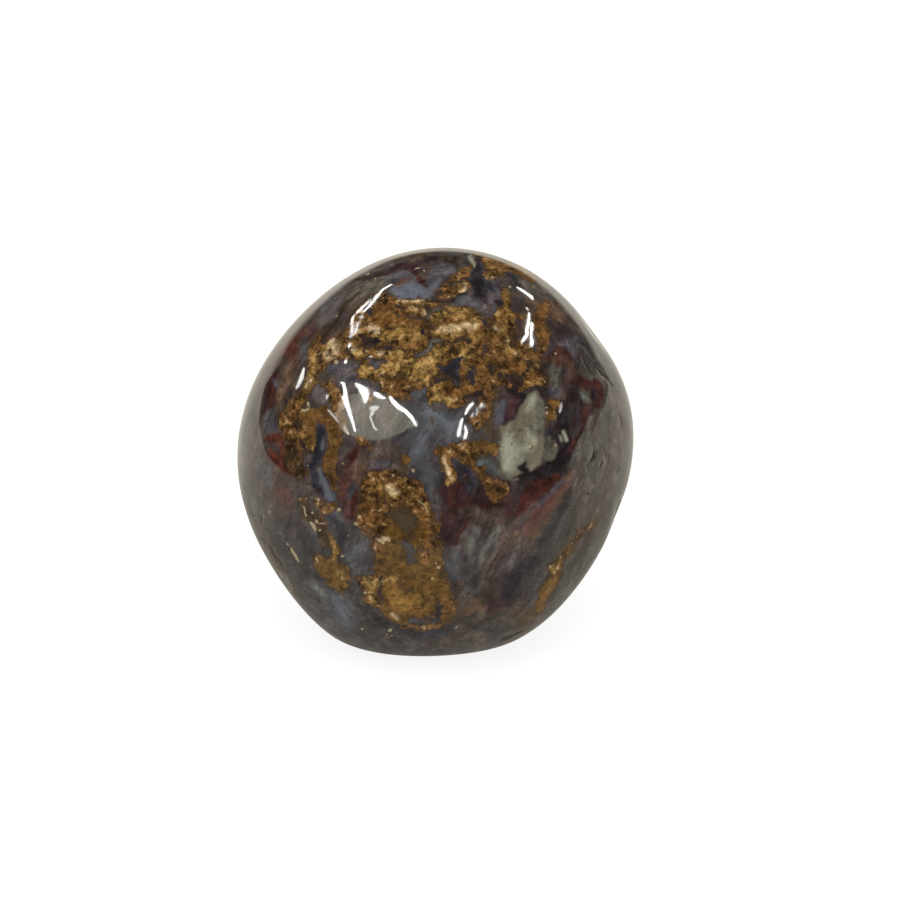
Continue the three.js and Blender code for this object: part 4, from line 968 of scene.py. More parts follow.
class Layers:
    """The painted layers of some of the stone's points: two colours and five amounts from 0 to 1."""

    def __init__(self, places, colours, ground):
        """Starts with plain ground at these places, which are two or three coordinates a point."""
        self.places = places
        self.colours = colours
        self.ground = ground
        self.ore = np.tile(colours["ore_brown"], (len(places), 1))
        self.gold = np.zeros(len(places))
        self.mottle = np.full(len(places), USUAL_UNEVENNESS)
        self.grain = np.full(len(places), USUAL_UNEVENNESS)
        self.fleck = np.zeros(len(places))
        self.crack = np.zeros(len(places))

    def paint_ground(self, marks):
        """Lays tints on the ground, and takes the gold away where they lie."""
        for name, softness, *chain in marks:
            cover = chain_cover(self.places, softness, chain)
            self.ground += (self.colours[name] - self.ground) * cover[:, None]
            self.mottle += (UNEVENNESS.get(name, USUAL_UNEVENNESS) - self.mottle) * cover
            if self.gold.any():
                self.gold *= 1 - chain_cover(self.places, GOLD_SOFTENING * softness, chain)

    def paint_ore(self, marks, tone_only=False):
        """Lays colours on the ore, and unless they are only tones, makes it show there."""
        for name, softness, *chain in marks:
            cover = chain_cover(self.places, softness, chain)
            self.ore += (self.colours[name] - self.ore) * cover[:, None]
            self.grain += (UNEVENNESS.get(name, USUAL_UNEVENNESS) - self.grain) * cover
            if not tone_only:
                edge = chain_cover(self.places, GOLD_SOFTENING * softness, chain)
                self.gold += (1 - self.gold) * edge

    def draw(self, amount, chains, softness):
        """Adds thin chains to an amount."""
        for chain in chains:
            np.maximum(amount, chain_cover(self.places, softness, chain), out=amount)


def base_ground(own, colours):
    """Plain chalcedony: mauve-grey and grey, mixed by noise that is drawn out along the flow."""
    flow = unit(np.array(FLOW))
    along = (own @ flow)[:, None] * flow
    drawn = own - GROUND_DRAWN * along
    broad, fine = (lattice_noise(drawn, cell, GROUND_SEED + i) for i, cell in enumerate(GROUND_CELLS))
    mix = smooth(0.5 + 0.9 * broad + 0.3 * fine)
    return colours["mauve_grey"] + (colours["grey"] - colours["mauve_grey"]) * mix[:, None]


def flow_places(own):
    """Coordinates for the shader's streaks: bent by soft noise, then pressed together along the flow."""
    bends = [lattice_noise(own, FLOW_BEND_CELL, FLOW_SEED + axis) for axis in range(3)]
    bent = own + FLOW_BEND * np.stack(bends, axis=1)
    flow = unit(np.array(FLOW))
    return bent - (1 - 1 / STREAK_STRETCH) * (bent @ flow)[:, None] * flow


def strewn_chains(rows, rng, form):
    """Seeded chains of places on the skin. Each starts anywhere and walks on in steps of about one length,
    leaning along the flow, with half widths that taper to its ends."""
    flow = unit(np.array(FLOW))
    marks = []
    for name, count, narrow, wide, places in rows:
        for _ in range(count):
            direction = unit(rng.normal(size=3))
            heading = unit(STREWN_LEAN * flow * rng.choice((-1, 1)) + (1 - STREWN_LEAN) * rng.normal(size=3))
            width = narrow + (wide - narrow) * rng.random() ** 2
            chain = []
            for i in range(places):
                radius = skin_radius(direction, form)
                taper = 0.6 + 0.4 * math.sin(math.pi * (i + 0.5) / places)
                chain.append((*(direction * radius), width * taper))
                bend = 0.35 * rng.normal(size=3)
                step = STREWN_STEP * (0.6 + 0.8 * width) / radius
                direction = unit(direction + step * unit(heading + bend))
            marks.append((name, 0.15 + 0.5 * width, *chain))
    return marks


def paint_front(own, colours, form):
    """Layers of the broad face, from the markings drawn on the plane that the camera sees."""
    sight = form.sight_distance / MM
    shrink = sight / (sight - own[:, 2:3])
    layers = Layers(own[:, :2] * shrink, colours, base_ground(own, colours))
    shift = np.zeros((len(own), 2))
    for i, (cell, size) in enumerate(EDGE_WARPS):
        for axis, seed in enumerate(FRONT_SHIFT_SEEDS):
            shift[:, axis] += size * lattice_noise(own, cell, seed + i)
    drawn = layers.places
    layers.places = drawn + shift
    layers.paint_ground(GROUND)
    layers.paint_ore(ORE)
    layers.paint_ground(WINDOWS)
    layers.paint_ore(ORE_TONES, tone_only=True)
    layers.places = drawn + SMALL_MARK_SHIFT * shift
    layers.draw(layers.fleck, [(fleck,) for fleck in FLECKS] + list(THREADS), FLECK_SOFTNESS)
    layers.draw(layers.crack, CRACKS, CRACK_SOFTNESS)
    return layers


def paint_back(own, colours, form):
    """Layers of the sides and the back, strewn with a seed."""
    rng = np.random.default_rng(STREWN_SEED)
    layers = Layers(own, colours, base_ground(own, colours))
    shift = np.zeros_like(own)
    for i, (cell, size) in enumerate(EDGE_WARPS):
        for axis in range(3):
            noise = lattice_noise(own, cell, BACK_SHIFT_SEED + 3 * i + axis)
            shift[:, axis] += BACK_SHIFT * size * noise
    layers.places = own + shift
    layers.paint_ground(strewn_chains(STREWN_GROUND, rng, form))
    layers.paint_ore(strewn_chains(STREWN_ORE, rng, form))
    layers.paint_ground(strewn_chains(STREWN_WINDOWS, rng, form))
    layers.paint_ore(strewn_chains(STREWN_TONES, rng, form), tone_only=True)
    flecks = strewn_chains((("fleck", STREWN_FLECKS, 0.06, 0.16, 1),), rng, form)
    cracks = strewn_chains((("crack", STREWN_CRACKS, 0.05, 0.1, 4),), rng, form)
    layers.draw(layers.fleck, [mark[2:] for mark in flecks], BACK_FLECK_SOFTNESS)
    layers.draw(layers.crack, [mark[2:] for mark in cracks], CRACK_SOFTNESS)
    return layers


def paint_stone(own, colours, form):
    """All painted layers, the front's and the back's, joined by how far each point faces the eye."""
    depth = own[:, 2] + FADE_WANDER * lattice_noise(own, FADE_CELL, FADE_SEED)
    front_share = smooth((depth - FRONT_STARTS) / (FRONT_FULL - FRONT_STARTS))
    front, back = paint_front(own, colours, form), paint_back(own, colours, form)
    painted = {}
    for name in ("ground", "ore", "gold", "mottle", "grain", "fleck", "crack"):
        a, b = getattr(back, name), getattr(front, name)
        share = front_share[:, None] if a.ndim == 2 else front_share
        painted[name] = a + (b - a) * share
    return painted


def polish_relief(own, painted, form):
    """Fine relief in millimetres along the radius: seeded sine waves in all directions, and shallow hollows
    where cracks and the softest gold lie."""
    rng = np.random.default_rng(WAVE_SEED)
    relief = np.zeros(len(own))
    for _ in range(WAVES):
        length = rng.uniform(*WAVE_LENGTHS)
        heading = unit(rng.normal(size=3))
        swell = form.waviness / MM * (length / WAVE_LENGTHS[1]) ** 2
        relief += swell * np.sin(own @ heading * 2 * math.pi / length + rng.uniform(0, 2 * math.pi))
    relief /= math.sqrt(WAVES / 2)
    relief -= form.crack_depth / MM * painted["crack"]
    relief += form.ore_relief / MM * painted["gold"] * lattice_noise(own, ORE_RELIEF_CELL, ORE_RELIEF_SEED)
    return relief


def rest_in_place(own, form):
    """Points of the stone in the room: leaned back, stood on the flat spot, cut flat at level zero and
    moved so that the middle of the outline is over the middle of the CAD stone."""
    room = own @ lean_matrix(form).T
    room[:, 2] = np.maximum(room[:, 2] + spot_depth(form), 0)
    low, high = (np.array(corner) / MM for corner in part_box(NODE))
    middle = (room.min(0) + room.max(0)) / 2
    shift = (low + high) / 2 - middle
    room[:, :2] += shift[:2]
    return room, np.array((shift[0], shift[1], spot_depth(form)))


def new_object(name, points, faces):
    """Mesh object with its points in millimetres, standing at the origin."""
    mesh = bpy.data.meshes.new(name)
    mesh.from_pydata((np.asarray(points) * MM).tolist(), [], np.asarray(faces).tolist())
    mesh.update()
    thing = bpy.data.objects.new(name, mesh)
    bpy.context.scene.collection.objects.link(thing)
    return thing


def weld(mesh, distance):
    """Joins corners that lie on each other, and turns all faces outwards."""
    shell = bmesh.new()
    shell.from_mesh(mesh)
    bmesh.ops.remove_doubles(shell, verts=shell.verts, dist=distance)
    bmesh.ops.recalc_face_normals(shell, faces=shell.faces)
    shell.to_mesh(mesh)
    shell.free()


def store(mesh, name, values):
    """Keeps a colour or an amount for each point as an attribute of the mesh."""
    if name.endswith("place"):
        layer = mesh.attributes.new(name, "FLOAT_VECTOR", "POINT")
        layer.data.foreach_set("vector", values.astype(np.float32).ravel())
    elif values.ndim == 2:
        layer = mesh.attributes.new(name, "FLOAT_COLOR", "POINT")
        whole = np.concatenate((values, np.ones((len(values), 1))), axis=1)
        layer.data.foreach_set("color", whole.astype(np.float32).ravel())
    else:
        layer = mesh.attributes.new(name, "FLOAT", "POINT")
        layer.data.foreach_set("value", values.astype(np.float32))


class Graph:
    """Short ways to add and join the nodes of one material or world."""

    def __init__(self, owner):
        """Clears the nodes of a material or a world."""
        owner.use_nodes = True
        self.tree = owner.node_tree
        self.tree.nodes.clear()

    def add(self, kind, inputs=(), **settings):
        """New node with its settings, and its inputs fed with values or with other nodes' outputs."""
        node = self.tree.nodes.new(kind)
        for name, value in settings.items():
            setattr(node, name, value)
        for key, value in dict(inputs).items():
            self.feed(node.inputs[key], value)
        return node

    def feed(self, socket, value):
        """Joins a socket to another node's output, or sets its value."""
        if isinstance(value, bpy.types.NodeSocket):
            self.tree.links.new(value, socket)
        else:
            socket.default_value = value

    def noise(self, place, cell, detail=2.0, roughness=0.5, distortion=0.0, output="Fac"):
        """Noise whose cells are this many millimetres across."""
        inputs = {"Vector": place, "Scale": 1 / (cell * MM), "Detail": detail,
                  "Roughness": roughness, "Distortion": distortion}
        return self.add("ShaderNodeTexNoise", inputs).outputs[output]

    def maths(self, operation, a, b=0.0):
        """One sum of two values, by the name that Blender gives it."""
        return self.add("ShaderNodeMath", {0: a, 1: b}, operation=operation).outputs[0]

    def band(self, value, low, high, start=0.0, end=1.0):
        """Eased change from start to end as the value goes from low to high."""
        inputs = {"Value": value, "From Min": low, "From Max": high, "To Min": start, "To Max": end}
        return self.add("ShaderNodeMapRange", inputs, interpolation_type="SMOOTHSTEP").outputs["Result"]

    def mix(self, share, a, b, blend="MIX"):
        """The first colour with this share of the second over it."""
        inputs = {0: share, 6: a, 7: b}
        node = self.add("ShaderNodeMix", inputs, data_type="RGBA", blend_type=blend)
        return node.outputs[2]

    def ramp(self, value, stops):
        """Greys or colours at places along a value."""
        node = self.add("ShaderNodeValToRGB", {"Fac": value})
        elements = node.color_ramp.elements
        while len(elements) < len(stops):
            elements.new(0.5)
        for element, (place, colour) in zip(elements, stops):
            element.position = place
            element.color = (*colour, 1) if isinstance(colour, tuple) else (colour, colour, colour, 1)
        return node.outputs["Color"]

    def swings(self, *parts):
        """Sum of noises, each less its middle value and times its share."""
        total = None
        for value, share in parts:
            swing = self.maths("MULTIPLY", self.maths("SUBTRACT", value, 0.5), share)
            total = swing if total is None else self.maths("ADD", total, swing)
        return total

    def lines(self, noise, width, strength):
        """Thin lines along which a noise passes its middle value."""
        gap = self.maths("ABSOLUTE", self.maths("SUBTRACT", noise, 0.5))
        return self.band(gap, 0.0, width, strength, 0.0)

    def attribute(self, name, output="Fac"):
        """Painted amount or colour that the mesh keeps for each point."""
        return self.add("ShaderNodeAttribute", attribute_name=name).outputs[output]

    def glow(self, tint, strength):
        """Makes the surface give off plain light."""
        light = self.add("ShaderNodeEmission", {"Color": (*tint, 1), "Strength": strength})
        self.add("ShaderNodeOutputMaterial", {"Surface": light.outputs["Emission"]})


def stone_material(colours):
    """Polished stone. The painted layers give its colours; noise gives the gold its grain, dark hollows and
    pale crystals, frays its edges, and draws streaks and mottles on the ground. Cracks polish less well."""
    material = bpy.data.materials.new("polished_pietersite")
    graph = Graph(material)
    place = graph.add("ShaderNodeTexCoord").outputs["Object"]
    flow_place = graph.attribute("flow_place", "Vector")
    tints = {name: (*value, 1) for name, value in colours.items()}
    cream, pit = tints["grain_cream"], tints["hollow"]

    noise = {name: graph.noise(place, *row) for name, row in EVEN_NOISES.items()}
    noise |= {name: graph.noise(flow_place, *row) for name, row in FLOWING_NOISES.items()}

    # where the gold shows
    frays = graph.swings((noise["fray"], 1.7), (noise["bays"], 1.9))
    frayed = graph.maths("ADD", graph.attribute("gold"), frays)
    gold = graph.band(frayed, 0.34, 0.66)
    stain = graph.band(frayed, 0.1, 0.5, 0.0, 0.8)

    # the gold's own tones, from dark slits to cream grains
    bend = graph.noise(place, CRYSTAL_BEND, 3.0, output="Color")
    bent = graph.add("ShaderNodeVectorMath", {0: bend, 1: (CRYSTAL_BEND * MM,) * 3, 2: place},
                     operation="MULTIPLY_ADD").outputs[0]
    crystals = graph.add("ShaderNodeTexVoronoi", {"Vector": bent, "Scale": 1 / (CRYSTAL * MM)})
    facets = graph.add("ShaderNodeSeparateColor", {0: crystals.outputs["Color"]}).outputs[0]
    swing = graph.swings((noise["cloud"], 1.2), (noise["grains"], 1.7), (noise["fine_grains"], 0.8),
                         (facets, 0.35))
    tone = graph.maths("ADD", graph.maths("MULTIPLY", swing, graph.attribute("grain")), 0.5)
    level = graph.ramp(tone, GOLD_LEVELS)
    ore = graph.mix(1.0, graph.attribute("ore", "Color"), level, "MULTIPLY")
    tawny = graph.band(noise["tawny"], 0.48, 0.62, 0.0, 0.4)
    ore = graph.mix(tawny, ore, graph.mix(1.0, tints["ore_orange"], level, "MULTIPLY"))
    ore = graph.mix(graph.band(tone, 0.74, 1.0, 0.0, 0.8), ore, cream)
    slit = graph.lines(noise["slits"], 0.035, 1.0)
    slit = graph.maths("MULTIPLY", slit, graph.band(noise["cloud"], 0.42, 0.56, 0.85, 0.0))
    slit = graph.maths("MULTIPLY", slit, graph.attribute("grain"))
    ore = graph.mix(slit, ore, pit)

    # the ground's streaks, mottles and thin veins
    coloured = graph.attribute("mottle")
    swing = graph.swings((noise["streaks"], 1.9), (noise["fine_streaks"], 0.8), (noise["mottle"], 1.9),
                         (noise["specks"], 0.6))
    unevenness = graph.maths("ADD", graph.maths("MULTIPLY", swing, coloured), 0.5)
    level = graph.ramp(unevenness, GROUND_LEVELS)
    ground = graph.mix(1.0, graph.attribute("ground", "Color"), level, "MULTIPLY")
    red_share = graph.maths("MULTIPLY", graph.band(noise["warm"], 0.56, 0.68, 0.0, 0.7), coloured)
    blue_share = graph.maths("MULTIPLY", graph.band(noise["warm"], 0.42, 0.32, 0.0, 0.45), coloured)
    vein = graph.maths("MULTIPLY", graph.lines(noise["veins"], 0.02, 0.55), coloured)
    ground = graph.mix(red_share, ground, tints["maroon"])
    ground = graph.mix(blue_share, ground, tints["blue_grey"])
    ground = graph.mix(vein, ground, pit)
    ground = graph.mix(stain, ground, tints["dark_brown"])

    # pale grains and open cracks over both
    ragged = graph.swings((noise["fray"], 1.5))
    fleck = graph.band(graph.maths("ADD", graph.attribute("fleck"), ragged), 0.35, 0.65, 0.0, 0.75)
    crack = graph.band(graph.maths("ADD", graph.attribute("crack"), ragged), 0.35, 0.6)
    colour = graph.mix(gold, ground, ore)
    colour = graph.mix(fleck, colour, cream)
    colour = graph.mix(graph.maths("MULTIPLY", crack, 0.85), colour, pit)

    # the polish, duller in cracks
    roughness = graph.band(noise["smudge"], 0.35, 0.7, *POLISH)
    roughness = graph.maths("ADD", roughness, graph.maths("MULTIPLY", crack, CRACK_DULLNESS))
    bump = graph.add("ShaderNodeBump", {"Strength": graph.maths("MULTIPLY", gold, 0.08),
                                        "Distance": 0.02 * MM, "Height": tone})
    shader = graph.add("ShaderNodeBsdfPrincipled", {"Base Color": colour, "Roughness": roughness,
                                                    "IOR": QUARTZ_IOR, "Normal": bump.outputs["Normal"]})
    graph.add("ShaderNodeOutputMaterial", {"Surface": shader.outputs["BSDF"]})
    return material


def emissive_material(name, tint, strength):
    """Plain light of one strength."""
    material = bpy.data.materials.new(name)
    Graph(material).glow(tint, strength)
    return material


def floor_material(settings):
    """Matt pale floor, a little lit from within so that it stays even."""
    material = bpy.data.materials.new("pale_floor")
    graph = Graph(material)
    place = graph.add("ShaderNodeTexCoord").outputs["Object"]
    shade = graph.band(graph.noise(place, FLOOR_MOTTLE), 0.3, 0.7, *FLOOR_SHADES)
    colour = graph.mix(shade, (0, 0, 0, 1), (1, 1, 1, 1))
    shader = graph.add("ShaderNodeBsdfPrincipled", {"Base Color": colour, "Roughness": 0.9,
                                                    "Emission Color": (1, 1, 1, 1),
                                                    "Emission Strength": settings.floor_glow})
    graph.add("ShaderNodeOutputMaterial", {"Surface": shader.outputs["BSDF"]})
    return material


def mirrored_floor_material(settings):
    """The floor as the polish mirrors it: dim close to the stone, where the stone's shadow is painted into
    its glow, and in front of it, a little dimmer to the right, and brightest behind."""
    material = bpy.data.materials.new("mirrored_floor")
    graph = Graph(material)
    place = graph.add("ShaderNodeTexCoord").outputs["Object"]
    distance = graph.add("ShaderNodeVectorMath", {0: place}, operation="LENGTH").outputs["Value"]
    # painted shadow of the stone: the mirrored floor's glow is dimmed to the share floor_shadow within this
    # ring round it
    near = graph.band(distance, STONE_SHADOW_RING[0] * MM, STONE_SHADOW_RING[1] * MM, settings.floor_shadow, 1.0)
    far = graph.band(distance, FAR_RISE[0] * MM, FAR_RISE[1] * MM, 1.0, settings.floor_far)
    parts = graph.add("ShaderNodeSeparateXYZ", {0: place})
    side = graph.band(parts.outputs["X"], RIGHT_FALL[0] * MM, RIGHT_FALL[1] * MM, 1.0, settings.floor_right)
    front = graph.band(parts.outputs["Y"], FRONT_RISE[0] * MM, FRONT_RISE[1] * MM, settings.floor_front, 1.0)
    strength = graph.maths("MULTIPLY", graph.maths("MULTIPLY", near, far),
                           graph.maths("MULTIPLY", side, front))
    strength = graph.maths("MULTIPLY", strength, settings.floor_mirrored)
    graph.glow(settings.mirrored_tint, strength)
    return material


def mirrored_wall_material(settings):
    """The pale wall behind the stone as the polish mirrors it, fading upwards."""
    material = bpy.data.materials.new("mirrored_wall")
    graph = Graph(material)
    place = graph.add("ShaderNodeTexCoord").outputs["Object"]
    up = graph.add("ShaderNodeSeparateXYZ", {0: place}).outputs["Z"]
    light = settings.floor_mirrored * settings.floor_far
    strength = graph.band(up, 0.0, settings.wall_height, light, 0.0)
    graph.glow(settings.mirrored_tint, strength)
    return material


def only_mirrored(thing):
    """Leaves an object visible in the polish alone."""
    thing.visible_camera = False
    thing.visible_diffuse = False
    thing.visible_shadow = False
    thing.visible_transmission = False


def flat_sheet(name, corners):
    """Flat sheet with these corners, in millimetres."""
    return new_object(name, corners, (range(len(corners)),))


def skin_under(places, form):
    """Points of the skin that the camera sees at places on the drawing plane, and the outward normals there.
    Each sight line is halved towards the skin; a normal is the slope of (distance from centre - radius)."""
    eye = np.array((0, 0, form.sight_distance / MM))
    aim = np.concatenate((places, np.zeros((len(places), 1))), axis=1)

    def outside(points):
        """How far points lie outside the skin, negative inside it."""
        return np.linalg.norm(points, axis=1) - skin_radius(unit(points), form)

    near = 1 - 1.5 * form.half_through / form.sight_distance * np.ones((len(places), 1))
    far = np.ones((len(places), 1))
    for _ in range(HALVINGS):
        middle = (near + far) / 2
        out = outside(eye + middle * (aim - eye))[:, None] > 0
        near, far = np.where(out, middle, near), np.where(out, far, middle)
    points = eye + (near + far) / 2 * (aim - eye)
    slopes = [outside(points + SLOPE_STEP * axis) - outside(points - SLOPE_STEP * axis) for axis in np.eye(3)]
    return points, unit(np.stack(slopes, axis=1)), unit(points - eye)


def mirrored_strip(chain, form, reach):
    """Corners and faces of a light whose mirror image in the polish lies along a chain. The chain's edges lie
    its half width to either side, and each edge point goes from the skin along the mirrored sight line."""
    rows = np.asarray(chain, float)
    length = np.concatenate(((0,), np.cumsum(np.linalg.norm(np.diff(rows[:, :2], axis=0), axis=1))))
    marks = np.linspace(0, length[-1], max(int(length[-1] / LIGHT_STEP), 3) + 1)
    x, y, width = (np.interp(marks, length, rows[:, i]) for i in range(3))
    width = LIGHT_BREADTH * width
    heading = unit(np.stack((np.gradient(x), np.gradient(y)), axis=1))
    across = np.stack((-heading[:, 1], heading[:, 0]), axis=1)
    middle = np.stack((x, y), axis=1)
    ends = np.minimum(1, 0.35 + np.minimum(np.arange(len(x)), np.arange(len(x))[::-1]))
    edges = [middle + side * (width * ends)[:, None] * across for side in (-1, 0, 1)]
    points, normals, sight = skin_under(np.concatenate(edges), form)
    mirrored = sight - 2 * np.sum(sight * normals, axis=1, keepdims=True) * normals
    grid = np.arange(3 * len(x)).reshape(3, -1)
    faces = np.stack((grid[:-1, :-1], grid[1:, :-1], grid[1:, 1:], grid[:-1, 1:]), -1).reshape(-1, 4)
    return points + reach * mirrored, faces


def mirrored_lights(name, chains, tint, strength, reach, form, centre):
    """One object for all lights of a strength, seen only in the polish."""
    points, faces, count = [], [], 0
    for chain in chains:
        corners, quads = mirrored_strip(chain, form, reach)
        points.append(corners @ lean_matrix(form).T + centre)
        faces.append(quads + count)
        count += len(corners)
    lights = new_object(name, np.concatenate(points), np.concatenate(faces))
    lights.data.materials.append(emissive_material(name, tint, strength))
    only_mirrored(lights)
    return lights


def set_world(settings):
    """Pale surroundings to the eye and to matt light, dim ones in the polish."""
    world = bpy.data.worlds.new("pale_room")
    graph = Graph(world)
    path = graph.add("ShaderNodeLightPath")
    pale = graph.add("ShaderNodeBackground", {"Color": (1, 1, 1, 1), "Strength": settings.room_light})
    dim = graph.add("ShaderNodeBackground", {"Color": (1, 1, 1, 1), "Strength": settings.room_mirrored})
    both = graph.add("ShaderNodeMixShader", {0: path.outputs["Is Glossy Ray"], 1: pale.outputs["Background"],
                                             2: dim.outputs["Background"]})
    graph.add("ShaderNodeOutputWorld", {"Surface": both.outputs["Shader"]})
    bpy.context.scene.world = world


def number(name, description, default, **limits):
    """Plain number property, with its unit or its limits."""
    return FloatProperty(name=name, description=description, default=default, **limits)


def length(name, description, millimetres):
    """Length property whose default is given in millimetres."""
    return number(name, description, millimetres * MM, unit="LENGTH", precision=5)


def colour(name, description, red, green, blue):
    """Colour property, in linear light."""
    return FloatVectorProperty(name=name, description=description, default=(red, green, blue), size=3,
                               subtype="COLOR", min=0, max=1)


class StoneForm(bpy.types.PropertyGroup):
    """Sizes of the stone."""

    half_across: length("Half across", "Half size across the broad face", 14.7)
    half_along: length("Half along", "Half size along the broad face", 14.85)
    half_through: length("Half through", "Half size through the broad face", 12.4)
    lean: number("Lean", "How far the broad face leans back", math.radians(27), subtype="ANGLE")
    underside_radius: length("Underside radius", "Radius of the shallow bow underneath", 80)
    underside_depth: length("Underside depth", "Depth of the bow below the centre", 13.15)
    underside_easing: length("Underside easing", "How softly the bow runs into the sides", 0.6)
    spot_radius: length("Flat spot radius", "Radius of the flat spot that the stone rests on", 4.5)
    waviness: length("Waviness", "Height of the soft waves left by tumbling", 0.004)
    crack_depth: length("Crack depth", "Depth of the open cracks", 0.07)
    ore_relief: length("Gold relief", "Unevenness of the softer gold", 0.0006)
    sight_distance: length("Sight distance", "Distance from the eye to the centre", 220)
    fineness: IntProperty(name="Fineness", description="Faces along each side of the starting cube",
                          default=129, min=8, max=129)


class StoneColours(bpy.types.PropertyGroup):
    """Colours of the minerals."""

    grey: colour("Grey", "Plain chalcedony", 0.060, 0.052, 0.048)
    grey_brown: colour("Grey brown", "Warm grey band of the upper left", 0.100, 0.083, 0.073)
    grey_face: colour("Face grey", "Lightest grey, on the right side", 0.082, 0.070, 0.058)
    pale_face: colour("Pale thread", "Pale threads on the right side", 0.130, 0.118, 0.100)
    olive_grey: colour("Olive grey", "Greenish grey of the upper left", 0.105, 0.090, 0.068)
    mauve: colour("Mauve", "Mauve brown chalcedony", 0.062, 0.042, 0.036)
    mauve_grey: colour("Mauve grey", "Lighter mauve chalcedony", 0.072, 0.055, 0.050)
    mauve_face: colour("Mauve face", "Pinkish streaks on the right side", 0.095, 0.068, 0.062)
    brown_mauve: colour("Brown mauve", "Brown chalcedony", 0.070, 0.050, 0.038)
    brown_pink: colour("Brown pink", "Smooth brown pink of the upper right", 0.125, 0.075, 0.045)
    brown: colour("Brown", "Brown stain", 0.080, 0.052, 0.030)
    violet_grey: colour("Violet grey", "Violet grey chalcedony", 0.075, 0.066, 0.072)
    violet_light: colour("Light violet", "Light violet windows", 0.135, 0.108, 0.110)
    blue_grey: colour("Blue grey", "Blue grey chalcedony", 0.082, 0.083, 0.088)
    blue: colour("Blue", "Clearest blue", 0.125, 0.132, 0.155)
    blue_violet: colour("Blue violet", "Deeper blue with violet", 0.082, 0.082, 0.104)
    blue_green: colour("Blue green", "Greenish blue spots", 0.092, 0.100, 0.102)
    green_grey: colour("Green grey", "Translucent green grey", 0.085, 0.080, 0.062)
    pale_green: colour("Pale green", "Pale green veins", 0.165, 0.170, 0.145)
    dark_blue: colour("Dark blue", "Dark blue fibres", 0.022, 0.022, 0.030)
    dark_violet: colour("Dark violet", "Dark violet fibres", 0.026, 0.020, 0.026)
    dark_mauve: colour("Dark mauve", "Dark mauve", 0.040, 0.028, 0.027)
    dark_grey: colour("Dark grey", "Dark grey", 0.036, 0.033, 0.031)
    dark_brown: colour("Dark brown", "Dark brown seams", 0.036, 0.022, 0.013)
    near_black: colour("Near black", "Darkest fibres", 0.013, 0.009, 0.010)
    maroon: colour("Maroon", "Maroon bands", 0.045, 0.020, 0.022)
    dark_maroon: colour("Dark maroon", "Darkest maroon", 0.034, 0.018, 0.018)
    dark_red: colour("Dark red", "Dark red seams", 0.048, 0.015, 0.012)
    red: colour("Red", "Red seams", 0.095, 0.026, 0.016)
    orange_red: colour("Orange red", "Brightest red", 0.165, 0.045, 0.020)
    red_brown: colour("Red brown", "Red brown seams", 0.090, 0.038, 0.026)
    red_mauve: colour("Red mauve", "Red mauve", 0.072, 0.036, 0.032)
    salmon: colour("Salmon", "Salmon streaks", 0.115, 0.052, 0.040)
    quartz: colour("Quartz", "Quartz crystal", 0.160, 0.142, 0.098)
    quartz_light: colour("Light quartz", "Lightest quartz", 0.335, 0.325, 0.235)
    quartz_grey: colour("Grey quartz", "Greyest quartz", 0.105, 0.095, 0.072)
    gold_smooth: colour("Smooth gold brown", "Gold seen through the ground", 0.082, 0.052, 0.026)
    ore_smooth: colour("Smooth gold", "Smooth gold of the lower patch", 0.108, 0.055, 0.013)
    ore_amber: colour("Amber", "Bright gold at the foot of the lower patch", 0.190, 0.098, 0.022)
    ore_brown: colour("Gold brown", "Gold brown fibres", 0.105, 0.053, 0.017)
    ore_orange: colour("Orange brown", "Orange brown fibres", 0.128, 0.060, 0.018)
    ore_gold: colour("Gold", "Gold fibres", 0.165, 0.090, 0.025)
    ore_light: colour("Light gold", "Light gold crystals", 0.250, 0.152, 0.048)
    ore_cream: colour("Cream", "Cream crystals", 0.500, 0.370, 0.210)
    ore_olive: colour("Olive gold", "Olive gold fibres", 0.105, 0.055, 0.017)
    ore_window: colour("Olive brown", "Smoother olive brown gold", 0.062, 0.036, 0.014)
    ore_shadow: colour("Gold shadow", "Dark slits in the gold", 0.022, 0.013, 0.006)
    window_olive: colour("Olive window", "Clear olive window in the gold", 0.070, 0.048, 0.026)
    window_blue: colour("Grey window", "Clear grey window in the gold", 0.062, 0.055, 0.052)
    ore_dark: colour("Dark ore", "Dark places in the gold", 0.040, 0.023, 0.011)
    grain_cream: colour("Grain", "Pale grains", 0.420, 0.330, 0.190)
    hollow: colour("Hollow", "Inside of hollows and cracks", 0.020, 0.013, 0.008)


